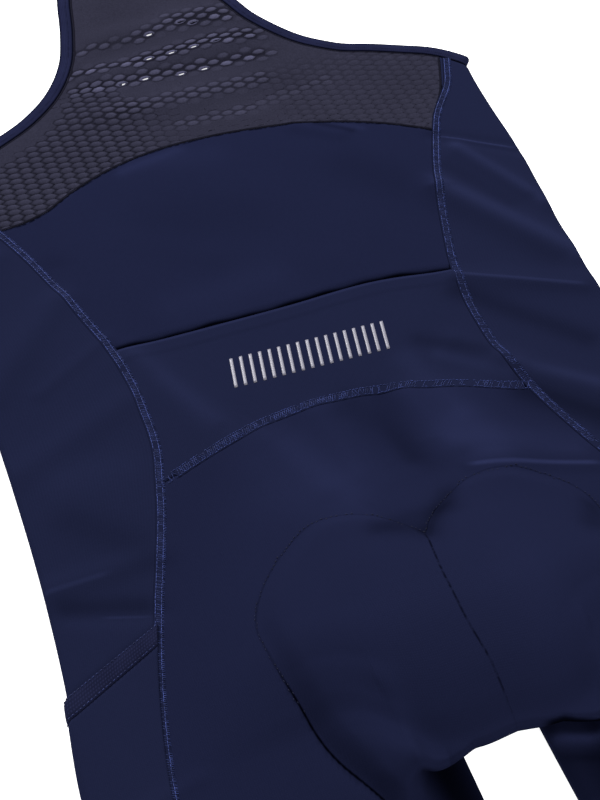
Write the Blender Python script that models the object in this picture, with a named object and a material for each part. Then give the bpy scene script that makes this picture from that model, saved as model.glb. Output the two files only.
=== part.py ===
"""Cycling bib shorts, laid face down on a flat surface with the back panels up.

The garment is cut from flat panels that lie on each other: a lower layer on the surface,
an upper layer over it, and side panels that turn round the two long side folds. Each panel
is a thin wall between an outer grid of points and an inner one. A padded seat insert, folded
inside, lifts the seat into a low dome whose end leans out over the crotch.

Sizes are in millimetres: "across" runs to the right seen from above, "up" runs along the
garment from the crotch to the shoulders, and heights stand above the surface.
"""
import bpy
import numpy as np

# Driving dimensions
METRES_PER_MM = 0.001
CLOTH = 1.2                 # wall of every cut panel
SEAM_GAP = 0.4              # between two panels that are sewn together
PLY_GAP = 0.3               # between two layers that lie on each other
FRONT_GAP = 0.2             # added at the long seams of the front panel
FRONT_BODY_UP = 390.0       # the front panel's rows bend to the neckline above this
WAIST_GAP = 0.6             # between the seat panel and the panels above it
SHOULDER_UP = 745.0         # top fold of the straps
YOKE_TOP_UP = 695.0         # where the straps leave the yoke
FRONT_TOP_UP = 470.0        # where the straps meet the front panel
NECK_CORNER = 12.0          # columns this near the neckline's end are drawn to it
HEM_SEAM_UP = -150.0        # where the leg bands are sewn on
HEM_UP = -200.0             # lower edge of the leg bands
BODY_HEIGHT = 6.0           # height of the upper layer of the body
YOKE_HEIGHT = 5.0           # height of the upper layer of the yoke and straps
YOKE_FADE_UP = (470.0, 560.0)    # between these the body's height falls to the yoke's
CROTCH_UP = 52.0            # where the seat and front panels meet between the legs
INSEAM_ACROSS = 20.0        # inner edge of each leg at the crotch
INSEAM_HEM_ACROSS = 24.0    # and at the hem
INSEAM_ROUND = 8.0          # width over which the upper layer rolls down to the inseam
MITRE_LIMIT = 0.7           # least cosine by which a wall's mitre is drawn out
SEAM_LIFT = CLOTH + PLY_GAP  # height of the upper layer's rim where it meets the lower one
FOLD_RUN = 8.0              # beside a side fold the upper layer comes to its even height
BINDING_WIDTH = 9.2
BINDING_RAISE = 0.4         # how far a binding stands above the panel beside it
BINDING_DEPTH = 1.6         # how far it reaches below the panel's outer face
POCKET_DROP = CLOTH + SEAM_GAP   # the back panel lies this much lower under its pocket
POCKET_STEP = 6.0           # width over which it drops above the pocket's mouth
LEG_POCKET_UP = -40.0       # lower edge of the leg pockets
LEG_POCKET_MOUTH_UP = 138.0  # mouth of the leg pocket at the back side seam
LEG_POCKET_SLOPE = 0.54     # fall of the mouth for each millimetre round the leg
ARMHOLE_BEND_UP = 600.0     # below this the armhole runs out to the side fold
ARMHOLE_SHIFT = 120.0       # stretch below the armhole where the side panel's rows follow it
POCKET_BAND_WIDTH = 13.0
POCKET_BAND = 1.9           # thickness of the elastic band at the mouth
LEG_LIFT_FOOT = (-130.0, -60.0)  # each pair gives where the room is nil and where full
LEG_LIFT_TOP = (175.0, 155.0)
LEG_LIFT = CLOTH + PLY_GAP  # room under the side panel for the pocket it carries

# The seat dome, in the flat cut before it leans
DOME_CLEAR = 8.0            # reach of the dome beyond the side seam
LIP_RISE = 24.0             # dome height of the lip over the crotch
LEAN_UP = (60.0, 150.0)     # the lean is full below the first and gone above the second
PAD_STEP = 3.5              # rise of the seat over the edge of the pad
PAD_EDGE = 12.0
PAD_STEP_UP = (0.0, 30.0)   # the step is gone below the first and full above the second
PAD_CREASE = 4.5            # depth of the crease beside the pad's lower sides
PAD_CREASE_TOP = (100.0, 20.0)   # each pair gives where the crease is shallow and where deep
PAD_CREASE_FOOT = (-40.0, 0.0)
PAD_CREASE_ACROSS = (45.0, 62.0)
PAD_CREASE_WIDTHS = (7.0, 12.0)
PAD_CENTRE_UP = 95.0        # the pad's outline is measured round this height
PAD_DROP = 6.0              # from the seat's outer face down to the folded pad
LEG_RIDGE_ACROSS = 51.0     # crest of the ridge down each leg
LEG_RIDGE_WIDTHS = (7.0, 30.0)   # its reach towards the inseam and towards the side

# Edge of the side panel on the back: up, distance from the centre line
SIDE_SEAM = [
    (-200, 143), (-120, 150), (-60, 156), (0, 157), (55, 154), (100, 146), (125, 140), (160, 130),
    (200, 117), (220, 111), (240, 106), (260, 101.5), (280, 100), (300, 100), (340, 104),
    (380, 114), (420, 126), (460, 141.5), (479, 150), (492, 157), (503, 163), (522, 170.5),
    (533, 174.5), (545, 178),
]
# Silhouette of the side fold: up, left and right distances from the centre line
SIDE_FOLD = [
    (-200, 180, 180), (-120, 187, 187), (-60, 191, 191), (0, 193, 193), (68, 192, 192),
    (133, 185, 185), (190, 181.5, 181), (290, 180, 178), (331, 180, 179), (377, 182, 182),
    (426, 186, 186.5), (479, 188, 187.5), (502, 188.3, 188.5), (516, 188.5, 189.6),
    (530, 188.7, 191), (545, 189, 192),
]
# Edge of the side panel on the front: up, distance from the centre line
FRONT_SEAM = [
    (-200, 104), (-100, 112), (0, 124), (55, 126), (150, 118), (220, 112), (280, 112), (340, 116),
    (400, 122), (470, 134), (545, 150),
]
# Inner edge of the armhole binding, from the side fold to the shoulder: across, up
ARMHOLE_RIGHT = [
    (194, 519), (189.5, 522), (185.5, 527), (181, 532.2), (175, 537.8), (167.5, 543), (156, 548.5),
    (134, 558.5),
    (115, 566), (103.5, 574), (93, 583), (76, 606),
    (67, 623), (59, 646), (50, 673), (43.5, 695), (45, 708), (55, 722), (64.5, 733), (66, 738),
    (66, 745),
]
ARMHOLE_LEFT = [
    (192, 506), (180, 506), (173, 508.5), (163, 514), (148, 523.5), (124.5, 538.5), (97.5, 556),
    (77.5, 575.5), (62.8, 598),
    (56.5, 612), (48.5, 640), (41.5, 675), (38, 695), (40, 708), (52.5, 722), (64.5, 733), (66, 738),
    (66, 745),
]
# Inner edge of the strap on the back and on the front: up, distance from the centre line
STRAP_BACK_LEFT = [(695, 15), (708, 22), (719, 33), (728, 40), (738, 42), (745, 42)]
STRAP_BACK_RIGHT = [(695, 25), (708, 29), (719, 35), (728, 40), (738, 42), (745, 42)]
STRAP_FRONT_LEFT = [
    (470, 80), (500, 80), (540, 62), (590, 38), (640, 24), (695, 15), (708, 22), (719, 33),
    (728, 40), (738, 42), (745, 42),
]
STRAP_FRONT_RIGHT = [
    (470, 80), (500, 82), (540, 70), (590, 50), (640, 33), (695, 25), (708, 29), (719, 35),
    (728, 40), (738, 42), (745, 42),
]
# Neck edge of the yoke: across, up
NECK_BACK = [(-15, 695), (-6, 686), (5, 683), (16, 686), (25, 695)]
# Lower edge of the yoke, from left to right: across, up
YOKE_SEAM = [
    (-141, 461), (-116, 466), (-87, 484), (-59, 497), (-32, 504), (0, 506.5), (32, 505),
    (64, 500), (94, 491), (118, 480), (142, 465.5),
]
# Mouth of the back pocket, and the seam across the waist
POCKET_MOUTH = [(-104, 340), (0, 343), (57, 345.5), (104, 339)]
WAIST_SEAM = [(-108, 236), (-77, 249), (-39, 261), (0, 265), (39, 261), (77, 248), (108, 237)]
# Front neckline: across, up
NECKLINE = [(-80, 470), (-60, 447), (-30, 430), (0, 425), (30, 430), (60, 447), (80, 470)]
# Rise of the seat along its centre: up, rise
DOME_RISE = [
    (52, 24), (60, 25), (72, 31), (86, 36.5), (104, 38), (120, 33), (136, 26.5), (155, 18.5),
    (178, 11), (205, 5), (235, 1), (262, 0),
]
# Where the dome springs from the lower layer: distance from the centre, up, run of its rise
DOME_SPRING = [
    (0, 52, 6), (20, 52, 6), (28, 46, 9), (36, 36, 15), (44, 22, 26), (52, 4, 42),
    (60, -20, 64), (72, -50, 100), (85, -75, 140), (110, -95, 170), (160, -110, 190),
]
# Rows of the seat's grid that carry the lip: distance from the centre, up, run
LIP_BAND = [(0, 52, 6), (20, 52, 6), (28, 46, 9), (36, 36, 15), (44, 22, 26), (52, 4, 42),
            (62, -10, 56), (85, -22, 70), (120, -30, 85)]
# How far the lip leans out over the legs: distance from the centre, lean
LIP_LEAN = [(0, 33), (20, 35), (28, 34), (36, 31), (44, 26), (52, 18), (60, 9), (74, 0)]
# Rise of the soft ridge that runs from the pad down each leg: up, rise
LEG_RIDGE = [(-150, 0), (-110, 0.5), (-70, 2), (-30, 5), (0, 9), (22, 13), (50, 10), (90, 0)]
# Sewn outline of the seat pad: across, up
PAD_OUTLINE = [
    (4, 145), (12, 156), (28, 171), (48, 183), (66, 183), (84, 173), (97, 158), (101, 135),
    (100, 105), (95, 75), (86, 45), (74, 16), (60, -5), (0, -10), (-56, -5), (-69, 16),
    (-80, 40), (-87, 74), (-91, 105), (-90, 128), (-81, 146), (-63, 166), (-46, 178),
    (-30, 179), (-14, 171), (-3, 157),
]
# Half width of the folded pad: up, half width
PAD_SECTIONS = [(68, 62), (80, 72), (100, 80), (130, 77), (150, 62), (163, 42), (170, 22)]
# Largest folds of the upper layer: start across, up, end across, up, height, two widths
FOLDS = [
    (121, 414, 177, 328, 2.4, 11, 11),
    (150, 440, 181, 376, 1.9, 8, 8),
    (103, 330, 172, 303, 2.2, 10, 10),
    (101, 262, 140, 222, 2.6, 8, 8),
    (140, 459, 184, 431, -1.6, 6, 6),
    (80, 282, 103, 257, 1.8, 9, 9),
    (-120, 193, -181, 188, 1.7, 8, 8),
    (-131, 157, -172, 170, -1.3, 6, 6),
    (-95, 332, -70, 272, 1.4, 13, 13),
    (-118, 418, -121, 402, -1.4, 9, 9),
    (-42, 247, -28, 200, 2.2, 10, 10),
    (0, 248, 4, 205, -1.2, 8, 8),
    (14, 246, 18, 196, 1.8, 8, 8),
    (66, 238, 72, 198, 3.4, 18, 18),
    (60, 196, 112, 182, 2.2, 6, 6),
    (-150, 438, -182, 366, 2.1, 9, 9),
    (-122, 392, -176, 330, 2.3, 11, 11),
    (-108, 300, -176, 268, 1.6, 10, 10),
    (96, -20, 150, -64, 2.0, 11, 11),
    (-92, -36, -150, -70, 2.2, 12, 12),
    (88, -104, 132, -118, 1.5, 9, 9),
    (-70, -96, -128, -122, 1.6, 10, 10),
]
# Waves across the yoke: start across, up, end across, up, height, two widths
YOKE_WAVES = [
    (-30, 630, 46, 638, 2.4, 12, 12),
    (-42, 592, 54, 600, 2.6, 12, 12),
    (-60, 552, 60, 556, 2.2, 12, 12),
    (60, 498, 84, 481, 1.2, 6, 6),
]

# Steps of the grids
SEAT_COLUMNS = np.array([0.0, 0.02, 0.06, 0.12, 0.175, 0.215, 0.26, 0.32, 0.39, 0.47, 0.56,
                         0.66, 0.77, 0.88, 1.0])
LEG_ROWS = np.array([0.0, 0.16, 0.31, 0.45, 0.58, 0.7, 0.8, 0.88, 0.95])
LIP_ROWS = np.array([0.0, 0.32, 0.6, 1.0])
SEAT_ROWS = np.array([0.03, 0.07, 0.12, 0.19, 0.27, 0.35, 0.43, 0.52, 0.61, 0.7, 0.8, 0.9, 1.0])
PAD_ROWS = 12
PAD_COLUMNS = 13
POCKET_ROWS = 4
BODY_ROWS = 5
YOKE_SIDE_COLUMNS = 3
YOKE_ARM_COLUMNS = 11
YOKE_ROWS = 12
YOKE_END = 14.0             # stretch of side seam that closes each end of the yoke
STRAP_COLUMNS = 2
NECK_COLUMNS = 4
STRAP_BACK_ROWS = 4
STRAP_TURN = np.radians([90, 45, 0, -45, -90])
FOLD_TURN = np.radians([90, 45, 0, -45, -90])
FRONT_COLUMNS = np.array([0.0, 0.17, 0.34, 0.53, 0.75, 1.0])
FRONT_LEG_ROWS = 5
FRONT_BODY_ROWS = 9
FRONT_NECK_ROWS = 3
LEG_POCKET_ROWS = 6
POCKET_BAND_ROWS = 2
LEG_BAND_ROWS = 2
LEG_BAND_COLUMNS = 6
SIDE_TOP_COLUMNS = 5
SIDE_BOTTOM_COLUMNS = 3
SOLVE_STEPS = 12            # repeats that bring a corner onto both of its lines
FINE_POINTS = 600           # points along an outline from which a few are picked

COLOURS = {
    "navy": (0.0135, 0.0168, 0.0520),
    "side": (0.0144, 0.0176, 0.0540),
    "net": (0.0340, 0.0335, 0.0560),
    "trim": (0.0120, 0.0150, 0.0430),
    "foam": (0.0500, 0.0520, 0.0700),
}
KNIT_ROUGHNESS = 0.62
TRIM_ROUGHNESS = 0.5
FOAM_ROUGHNESS = 0.9


def smooth_value(at, knots, values):
    """Read a smooth curve through (knots, values), straight beyond both of its ends."""
    knots = np.asarray(knots, float)
    values = np.asarray(values, float)
    at = np.asarray(at, float)
    steps = np.diff(knots)
    slopes = np.diff(values)/steps
    inner = (slopes[:-1]*steps[1:] + slopes[1:]*steps[:-1])/(steps[:-1] + steps[1:])
    steepest = 3.0*np.minimum(np.abs(slopes[:-1]), np.abs(slopes[1:]))
    inner = np.clip(inner, -steepest, steepest)
    tangents = np.concatenate([slopes[:1], inner, slopes[-1:]])
    index = np.clip(np.searchsorted(knots, at) - 1, 0, len(steps) - 1)
    part = np.clip((at - knots[index])/steps[index], 0.0, 1.0)
    cubic = ((2*part**3 - 3*part**2 + 1)*values[index]
             + (part**3 - 2*part**2 + part)*steps[index]*tangents[index]
             + (3*part**2 - 2*part**3)*values[index + 1]
             + (part**3 - part**2)*steps[index]*tangents[index + 1])
    before = np.minimum(at - knots[0], 0.0)*tangents[0]
    after = np.maximum(at - knots[-1], 0.0)*tangents[-1]
    return cubic + before + after


def column(table, at, index=1):
    """Read one column of a table whose first column is the position."""
    rows = np.array(table, float)
    return smooth_value(at, rows[:, 0], rows[:, index])


def outline(table, count):
    """Points evenly spaced along the smooth line through a table of places."""
    rows = np.array(table, float)
    lengths = np.concatenate([[0.0], np.cumsum(np.linalg.norm(np.diff(rows, axis=0), axis=1))])
    at = np.linspace(0.0, lengths[-1], count)
    return np.stack([smooth_value(at, lengths, rows[:, k]) for k in range(rows.shape[1])], axis=1)


def ease(value, start, end):
    """Rise smoothly from 0 at start to 1 at end."""
    part = np.clip((value - start)/(end - start), 0.0, 1.0)
    return part*part*(3.0 - 2.0*part)


def side_fold(up, side):
    return column(SIDE_FOLD, up, 2 if side > 0 else 1)


def inseam(up):
    return INSEAM_ACROSS + (INSEAM_HEM_ACROSS - INSEAM_ACROSS)*ease(up, CROTCH_UP, HEM_UP)


def fold_relief(across, up, folds):
    """Soft ridges and troughs, each fading with the distance from its line."""
    total = np.zeros(np.broadcast(across, up).shape)
    for x0, y0, x1, y1, height, width_left, width_right in folds:
        run = np.array([x1 - x0, y1 - y0], float)
        length = np.hypot(*run)
        run = run/length
        along = np.clip((across - x0)*run[0] + (up - y0)*run[1], 0.0, length)
        off_x = across - x0 - along*run[0]
        off_y = up - y0 - along*run[1]
        left = run[0]*off_y - run[1]*off_x > 0
        width = np.where(left, width_left, width_right)
        total = total + height*np.exp(-(off_x**2 + off_y**2)/width**2)
    return total


def pad_inside(across, up):
    """Distance inside the pad's sewn outline, measured along rays from its centre."""
    rows = np.array(PAD_OUTLINE, float)
    angles = np.arctan2(rows[:, 1] - PAD_CENTRE_UP, rows[:, 0])
    reach = np.hypot(rows[:, 0], rows[:, 1] - PAD_CENTRE_UP)
    order = np.argsort(angles)
    angles = angles[order]
    reach = reach[order]
    angles = np.concatenate([angles[-3:] - 2*np.pi, angles, angles[:3] + 2*np.pi])
    reach = np.concatenate([reach[-3:], reach, reach[:3]])
    here = np.arctan2(up - PAD_CENTRE_UP, across)
    return smooth_value(here, angles, reach) - np.hypot(across, up - PAD_CENTRE_UP)


def leg_height(across, up):
    """Height of the upper layer without the dome, rolled down to the inseam below the crotch."""
    distance = np.abs(across)
    height = BODY_HEIGHT - (BODY_HEIGHT - YOKE_HEIGHT)*ease(up, *YOKE_FADE_UP)
    ridge = column(LEG_RIDGE, np.clip(up, LEG_RIDGE[0][0], LEG_RIDGE[-1][0]))
    off = distance - LEG_RIDGE_ACROSS
    width = np.where(off < 0, *LEG_RIDGE_WIDTHS)
    height = height + ridge*np.exp(-(off/width)**2)
    height = height + fold_relief(across, up, FOLDS + YOKE_WAVES)
    beside = np.maximum(distance - inseam(up), 0.0)
    above = np.maximum(up - CROTCH_UP, 0.0)
    inward = np.clip(np.hypot(beside, above)/INSEAM_ROUND, 0.0, 1.0)
    roll = np.sqrt(1.0 - (1.0 - inward)**2)
    return SEAM_LIFT + (height - SEAM_LIFT)*roll


def dome_height(across, up):
    """Rise of the seat over the folded pad, with the pad's edge and the creases beside it."""
    reach = column(SIDE_SEAM, up) + DOME_CLEAR
    section = np.clip(1.0 - (across/reach)**2, 0.0, 1.0)**2
    rise = column(DOME_RISE, np.clip(up, DOME_RISE[0][0], DOME_RISE[-1][0]))*section
    inside = pad_inside(across, up)
    rise = rise + PAD_STEP*ease(inside, 0.0, PAD_EDGE)*ease(up, *PAD_STEP_UP)
    place = np.clip(np.abs(across), 0, DOME_SPRING[-1][0])
    spring = column(DOME_SPRING, place)
    run = column(DOME_SPRING, place, 2)
    rise = rise*ease(up, spring, spring + run)
    near, far = PAD_CREASE_WIDTHS
    depth = PAD_CREASE*ease(up, *PAD_CREASE_TOP)*ease(up, *PAD_CREASE_FOOT)
    width = np.where(inside < 0, near, far)
    groove = depth*np.exp(-np.abs(inside)/width)*ease(np.abs(across), *PAD_CREASE_ACROSS)
    return rise - np.minimum(groove, rise)


def upper_layer(across, up):
    """Outer face of the upper layer, with the seat leaning out over the crotch."""
    dome = dome_height(across, up)
    reach = column(LIP_LEAN, np.clip(np.abs(across), 0, LIP_LEAN[-1][0]))
    lean = reach*ease(dome, 0.0, LIP_RISE)*(1.0 - ease(up, *LEAN_UP))
    height = leg_height(across, up) + dome
    return np.stack([across + 0*height, up - lean, height], axis=-1)


def unit(vectors):
    return vectors/np.maximum(np.linalg.norm(vectors, axis=-1, keepdims=True), 1e-9)


def face_normals(points, wrap=False):
    """Normals of a grid, facing out of the garment and longer where the grid turns sharply.

    Each is the mean of the normals of the cells round a point, as long as the mitre that keeps
    a wall of even thickness.
    """
    grid = np.concatenate([points, points[:, :1]], axis=1) if wrap else points
    cells = unit(np.cross(grid[1:, 1:] - grid[:-1, :-1], grid[1:, :-1] - grid[:-1, 1:]))
    cells = np.pad(cells, ((1, 1), (0, 0), (0, 0)), mode="edge")
    cells = np.pad(cells, ((0, 0), (1, 0 if wrap else 1), (0, 0)), mode="wrap" if wrap else "edge")
    around = np.stack([cells[:-1, :-1], cells[:-1, 1:], cells[1:, :-1], cells[1:, 1:]])
    mean = unit(around.sum(axis=0))
    turn = (around*mean).sum(axis=-1, keepdims=True).min(axis=0)
    return mean/np.clip(turn, MITRE_LIMIT, 1.0)


def moved(points, distance, wrap=False):
    return points + face_normals(points, wrap)*distance


def closed_wall(outer, inner, keep=None, wrap=False, wrap_rows=False):
    """Vertices and faces of the closed wall between two grids, over the cells that are kept."""
    rows, columns = outer.shape[:2]
    number = np.arange(rows*columns).reshape(rows, columns)
    if wrap:
        number = np.concatenate([number, number[:, :1]], axis=1)
    if wrap_rows:
        number = np.concatenate([number, number[:1]], axis=0)
    cells = np.stack([number[:-1, :-1], number[:-1, 1:], number[1:, 1:], number[1:, :-1]], axis=-1)
    if keep is not None:
        cells = cells[keep]
    cells = cells.reshape(-1, 4)
    starts = cells.ravel()
    ends = np.roll(cells, -1, axis=1).ravel()
    total = rows*columns
    rim = ~np.isin(ends*total + starts, starts*total + ends)
    sides = np.stack([ends[rim], starts[rim], starts[rim] + total, ends[rim] + total], axis=1)
    halves = np.concatenate([cells[:, [0, 1, 2]], cells[:, [0, 2, 3]]])
    rims = np.concatenate([sides[:, [0, 1, 2]], sides[:, [0, 2, 3]]])
    faces = np.concatenate([halves, halves[:, ::-1] + total, rims])
    used, faces = np.unique(faces, return_inverse=True)
    vertices = np.concatenate([outer.reshape(-1, 3), inner.reshape(-1, 3)])[used]
    return vertices, faces.reshape(-1, 3)


def make_object(name, wall, colour, roughness=KNIT_ROUGHNESS):
    """Turn a wall into a named object in metres, centred on the garment."""
    vertices, faces = wall
    centre = np.array([0.0, (SHOULDER_UP + BINDING_RAISE + HEM_UP)/2.0, 0.0])
    mesh = bpy.data.meshes.new(name)
    mesh.from_pydata(((vertices - centre)*METRES_PER_MM).tolist(), [], faces.tolist())
    mesh.update()
    material = bpy.data.materials.new(name)
    material.use_nodes = True
    shader = material.node_tree.nodes["Principled BSDF"]
    shader.inputs["Base Color"].default_value = (*COLOURS[colour], 1.0)
    shader.inputs["Roughness"].default_value = roughness
    shader.inputs["Metallic"].default_value = 0.0
    mesh.materials.append(material)
    piece = bpy.data.objects.new(name, mesh)
    bpy.context.scene.collection.objects.link(piece)
    return piece


def straight_down(points):
    """The grid moved down by the cloth's thickness."""
    return points - np.array([0.0, 0.0, CLOTH])


def square_edges(normals):
    """Normals whose outer rows keep to their cross section and outer columns to their length."""
    squared = normals.copy()
    squared[[0, -1], :, 1] = 0.0
    squared[:, [0, -1], 0] = 0.0
    return unit(squared)*np.linalg.norm(normals, axis=-1, keepdims=True)


def panel(name, outer, inner, colour="navy"):
    """A cut panel: the wall between its outer face and its inner face."""
    return make_object(name, closed_wall(outer, inner), colour)


def mirrored(points, side):
    """The right-hand grid as it is, or turned over for the left-hand side."""
    if side > 0:
        return points
    return (points*np.array([-1.0, 1.0, 1.0]))[:, ::-1]


def armhole_up(distance, side):
    """Height up the garment of the armhole's edge beside the side fold."""
    rows = np.array(ARMHOLE_RIGHT if side > 0 else ARMHOLE_LEFT, float)[::-1]
    rows = rows[rows[:, 1] < ARMHOLE_BEND_UP]
    return smooth_value(distance, rows[:, 0], rows[:, 1])


def seam_end(table, side):
    """Where a seam across the back runs into the side seam."""
    up = float(table[0][1])
    for _ in range(SOLVE_STEPS):
        up = float(column(table, side*column(SIDE_SEAM, up)))
    return up


def side_corner(side):
    """Where the side seam runs into the armhole."""
    up = ARMHOLE_BEND_UP
    for _ in range(SOLVE_STEPS):
        up = float(armhole_up(column(SIDE_SEAM, up), side))
    return up


def body_ups(waist, mouth, yoke):
    """Rows of the back panel: up to the pocket's mouth, its step, and on up to the yoke."""
    share = np.linspace(0.0, 1.0, POCKET_ROWS + 1)
    lower = [waist + part*(mouth - waist) for part in share]
    step = mouth + POCKET_STEP
    upper = [step + part*(yoke - step) for part in np.linspace(0.0, 1.0, BODY_ROWS)]
    return np.array(lower + upper)


def seat_ups(across, waist):
    """Rows of the seat at a place across it: up the leg, over the lip and on to the waist."""
    place = np.clip(np.abs(across), 0, LIP_BAND[-1][0])
    lip = column(LIP_BAND, place)
    run = column(LIP_BAND, place, 2)
    leg = [HEM_SEAM_UP + part*(lip - HEM_SEAM_UP) for part in LEG_ROWS]
    rise = [lip + part*run for part in LIP_ROWS]
    seat = [lip + run + part*(waist - lip - run) for part in SEAT_ROWS]
    return np.array(leg + rise + seat)


def side_stations(side):
    """Places along the side seam that every panel sewn to it shares."""
    waist = seam_end(WAIST_SEAM, side)
    mouth = seam_end(POCKET_MOUTH, side)
    yoke = seam_end(YOKE_SEAM, side)
    seat = seat_ups(SIDE_SEAM[0][1], waist)
    body = body_ups(waist, mouth, yoke)
    corner = side_corner(side)
    arm = np.append(np.linspace(yoke, corner - YOKE_END, YOKE_SIDE_COLUMNS + 1), corner)
    return seat, body, arm


def side_section(up, turn, side, lift):
    """One section round the side: from the back seam, round the fold, to the front seam.

    turn counts the columns: the top run, then the arc of the fold, then the lower run.
    """
    seam = column(SIDE_SEAM, up) + SEAM_GAP
    fold = side_fold(up, side)
    front = column(FRONT_SEAM, up) + SEAM_GAP
    edge = fold - BODY_HEIGHT/2.0
    crown = upper_layer(side*edge, up)[..., 2]
    radius = (crown - lift)/2.0
    centre = fold - radius
    top_part = np.clip(turn/SIDE_TOP_COLUMNS, 0.0, 1.0)
    arc_at = np.clip(turn - SIDE_TOP_COLUMNS, 0.0, len(FOLD_TURN) - 1.0)
    angle = np.interp(arc_at, np.arange(len(FOLD_TURN)), FOLD_TURN)
    low_part = np.clip((turn - SIDE_TOP_COLUMNS - len(FOLD_TURN) + 1)/SIDE_BOTTOM_COLUMNS, 0, 1)
    x_top = seam + (centre - seam)*top_part
    z_top = upper_layer(side*x_top, up)[..., 2]
    z_top = z_top + (crown - z_top)*ease(x_top, fold - FOLD_RUN, centre)
    x_arc = centre + radius*np.cos(angle)
    z_arc = lift + radius + radius*np.sin(angle)
    x_low = centre + (front - centre)*low_part
    on_top = turn <= SIDE_TOP_COLUMNS
    on_low = turn >= SIDE_TOP_COLUMNS + len(FOLD_TURN) - 1
    across = np.where(on_top, x_top, np.where(on_low, x_low, x_arc))
    height = np.where(on_top, z_top, np.where(on_low, lift + 0*x_low, z_arc))
    return across, height


def pocket_lift(up):
    """Height of the side panel's lower run, raised where the leg pocket lies under it."""
    return LEG_LIFT*ease(up, *LEG_LIFT_FOOT)*ease(up, *LEG_LIFT_TOP)


def side_grid(ups, side, turns):
    """Grid of points round the side; ups has one row of places for each row of the grid."""
    turn = np.broadcast_to(turns, ups.shape)
    across, height = side_section(ups, turn, side, pocket_lift(ups))
    return np.stack([across, ups, height], axis=-1)


def side_turns():
    return np.arange(SIDE_TOP_COLUMNS + len(FOLD_TURN) + SIDE_BOTTOM_COLUMNS, dtype=float)


def side_panel_points(side):
    seat, body, arm = side_stations(side)
    stations = np.concatenate([seat, body[1:], arm[1:]])
    turns = side_turns()
    ups = np.repeat(stations[:, None], len(turns), axis=1)
    top = np.full(len(turns), stations[-1])
    for _ in range(SOLVE_STEPS):
        across, _height = side_section(top, turns, side, 0.0)
        top = armhole_up(across, side)
    shift = ease(stations, stations[-1] - ARMHOLE_SHIFT, stations[-1])[:, None]
    ups = ups + (top - stations[-1])[None, :]*shift
    return side_grid(ups, side, turns)


def make_side_panels():
    grids = {}
    for side, word in ((-1, "left"), (1, "right")):
        points = side_panel_points(side)
        grids[side] = points
        outer = mirrored(points, side)
        inner = outer - CLOTH*square_edges(face_normals(outer))
        panel(f"side_panel_{word}", outer, inner, "side")
    return grids


def armhole_line(side):
    """Armhole edge from the end of the side seam up to the top of the yoke."""
    rows = np.array(ARMHOLE_RIGHT if side > 0 else ARMHOLE_LEFT, float)
    fine = outline(rows, FINE_POINTS)
    start = np.argmin(np.abs(fine[:, 0] - column(SIDE_SEAM, side_corner(side))))
    end = np.argmin(np.abs(fine[:, 1] - YOKE_TOP_UP))
    picks = np.linspace(start, end, YOKE_ARM_COLUMNS + 1).round().astype(int)
    line = fine[picks]
    line[0] = (column(SIDE_SEAM, side_corner(side)), side_corner(side))
    line[-1, 1] = YOKE_TOP_UP
    return line


def yoke_top_line():
    """Top edge of the yoke: the left strap's seam, the neck edge and the right strap's seam."""
    left = np.linspace(-armhole_line(-1)[-1, 0], NECK_BACK[0][0], STRAP_COLUMNS + 1)
    right = np.linspace(NECK_BACK[-1][0], armhole_line(1)[-1, 0], STRAP_COLUMNS + 1)
    neck = outline(NECK_BACK, NECK_COLUMNS + 1)
    level = np.full(STRAP_COLUMNS + 1, YOKE_TOP_UP)
    return np.concatenate([np.stack([left, level], axis=1)[:-1], neck,
                           np.stack([right, level], axis=1)[1:]])


def yoke_points():
    """Rows from the yoke's lower edge, side seams included, to its armholes and top edge."""
    seams = []
    arms = []
    for side in (-1, 1):
        ups = side_stations(side)[2][:-1]
        seam = np.stack([side*column(SIDE_SEAM, ups), ups], axis=1)
        arm = armhole_line(side)*np.array([side, 1.0])
        seams.append(seam[::side])
        arms.append(arm[::-side])
    top = np.concatenate([arms[0][:-1], yoke_top_line(), arms[1][1:]])
    middle = outline(YOKE_SEAM, len(top) - 2*YOKE_SIDE_COLUMNS)
    bottom = np.concatenate([seams[0][:-1], middle, seams[1][1:]])
    bottom[YOKE_SIDE_COLUMNS] = seams[0][-1]
    bottom[-1 - YOKE_SIDE_COLUMNS] = seams[1][0]
    bottom[YOKE_SIDE_COLUMNS:-YOKE_SIDE_COLUMNS, 1] += SEAM_GAP
    part = np.linspace(0.0, 1.0, YOKE_ROWS + 1)[:, None, None]
    cut = (1 - part)*bottom[None] + part*top[None]
    return upper_layer(cut[..., 0], cut[..., 1])


def make_yoke():
    points = yoke_points()
    panel("yoke", points, straight_down(points), "net")
    return points


def body_grid(seat_top, yoke_bottom):
    """Cut of the back panel: rows from the waist seam to the yoke, between the side seams."""
    ups = [side_stations(side)[1] for side in (-1, 1)]
    part_u = np.linspace(0.0, 1.0, len(yoke_bottom))
    low_across = np.interp(part_u, np.linspace(0, 1, len(seat_top)), seat_top[:, 0])
    low_share = (low_across - low_across[0])/(low_across[-1] - low_across[0])
    top_share = yoke_bottom[:, 0] - yoke_bottom[0, 0]
    top_share = top_share/top_share[-1]
    rows = []
    for index, part in enumerate(np.linspace(0.0, 1.0, len(ups[0]))):
        share = (1 - part)*low_share + part*top_share
        reach_left = -column(SIDE_SEAM, ups[0][index])
        reach_right = column(SIDE_SEAM, ups[1][index])
        across = reach_left + share*(reach_right - reach_left)
        waist = column(WAIST_SEAM, across)
        mouth = column(POCKET_MOUTH, across)
        yoke = column(YOKE_SEAM, across)
        up = np.array([body_ups(*heights)[index] for heights in zip(waist, mouth, yoke)])
        up[[0, -1]] = ups[0][index], ups[1][index]
        rows.append(np.stack([across, up], axis=1))
    cut = np.array(rows)
    cut[0, :, 1] += WAIST_GAP
    cut[-1] = yoke_bottom[:, :2] - np.array([0.0, SEAM_GAP])
    return cut


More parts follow.
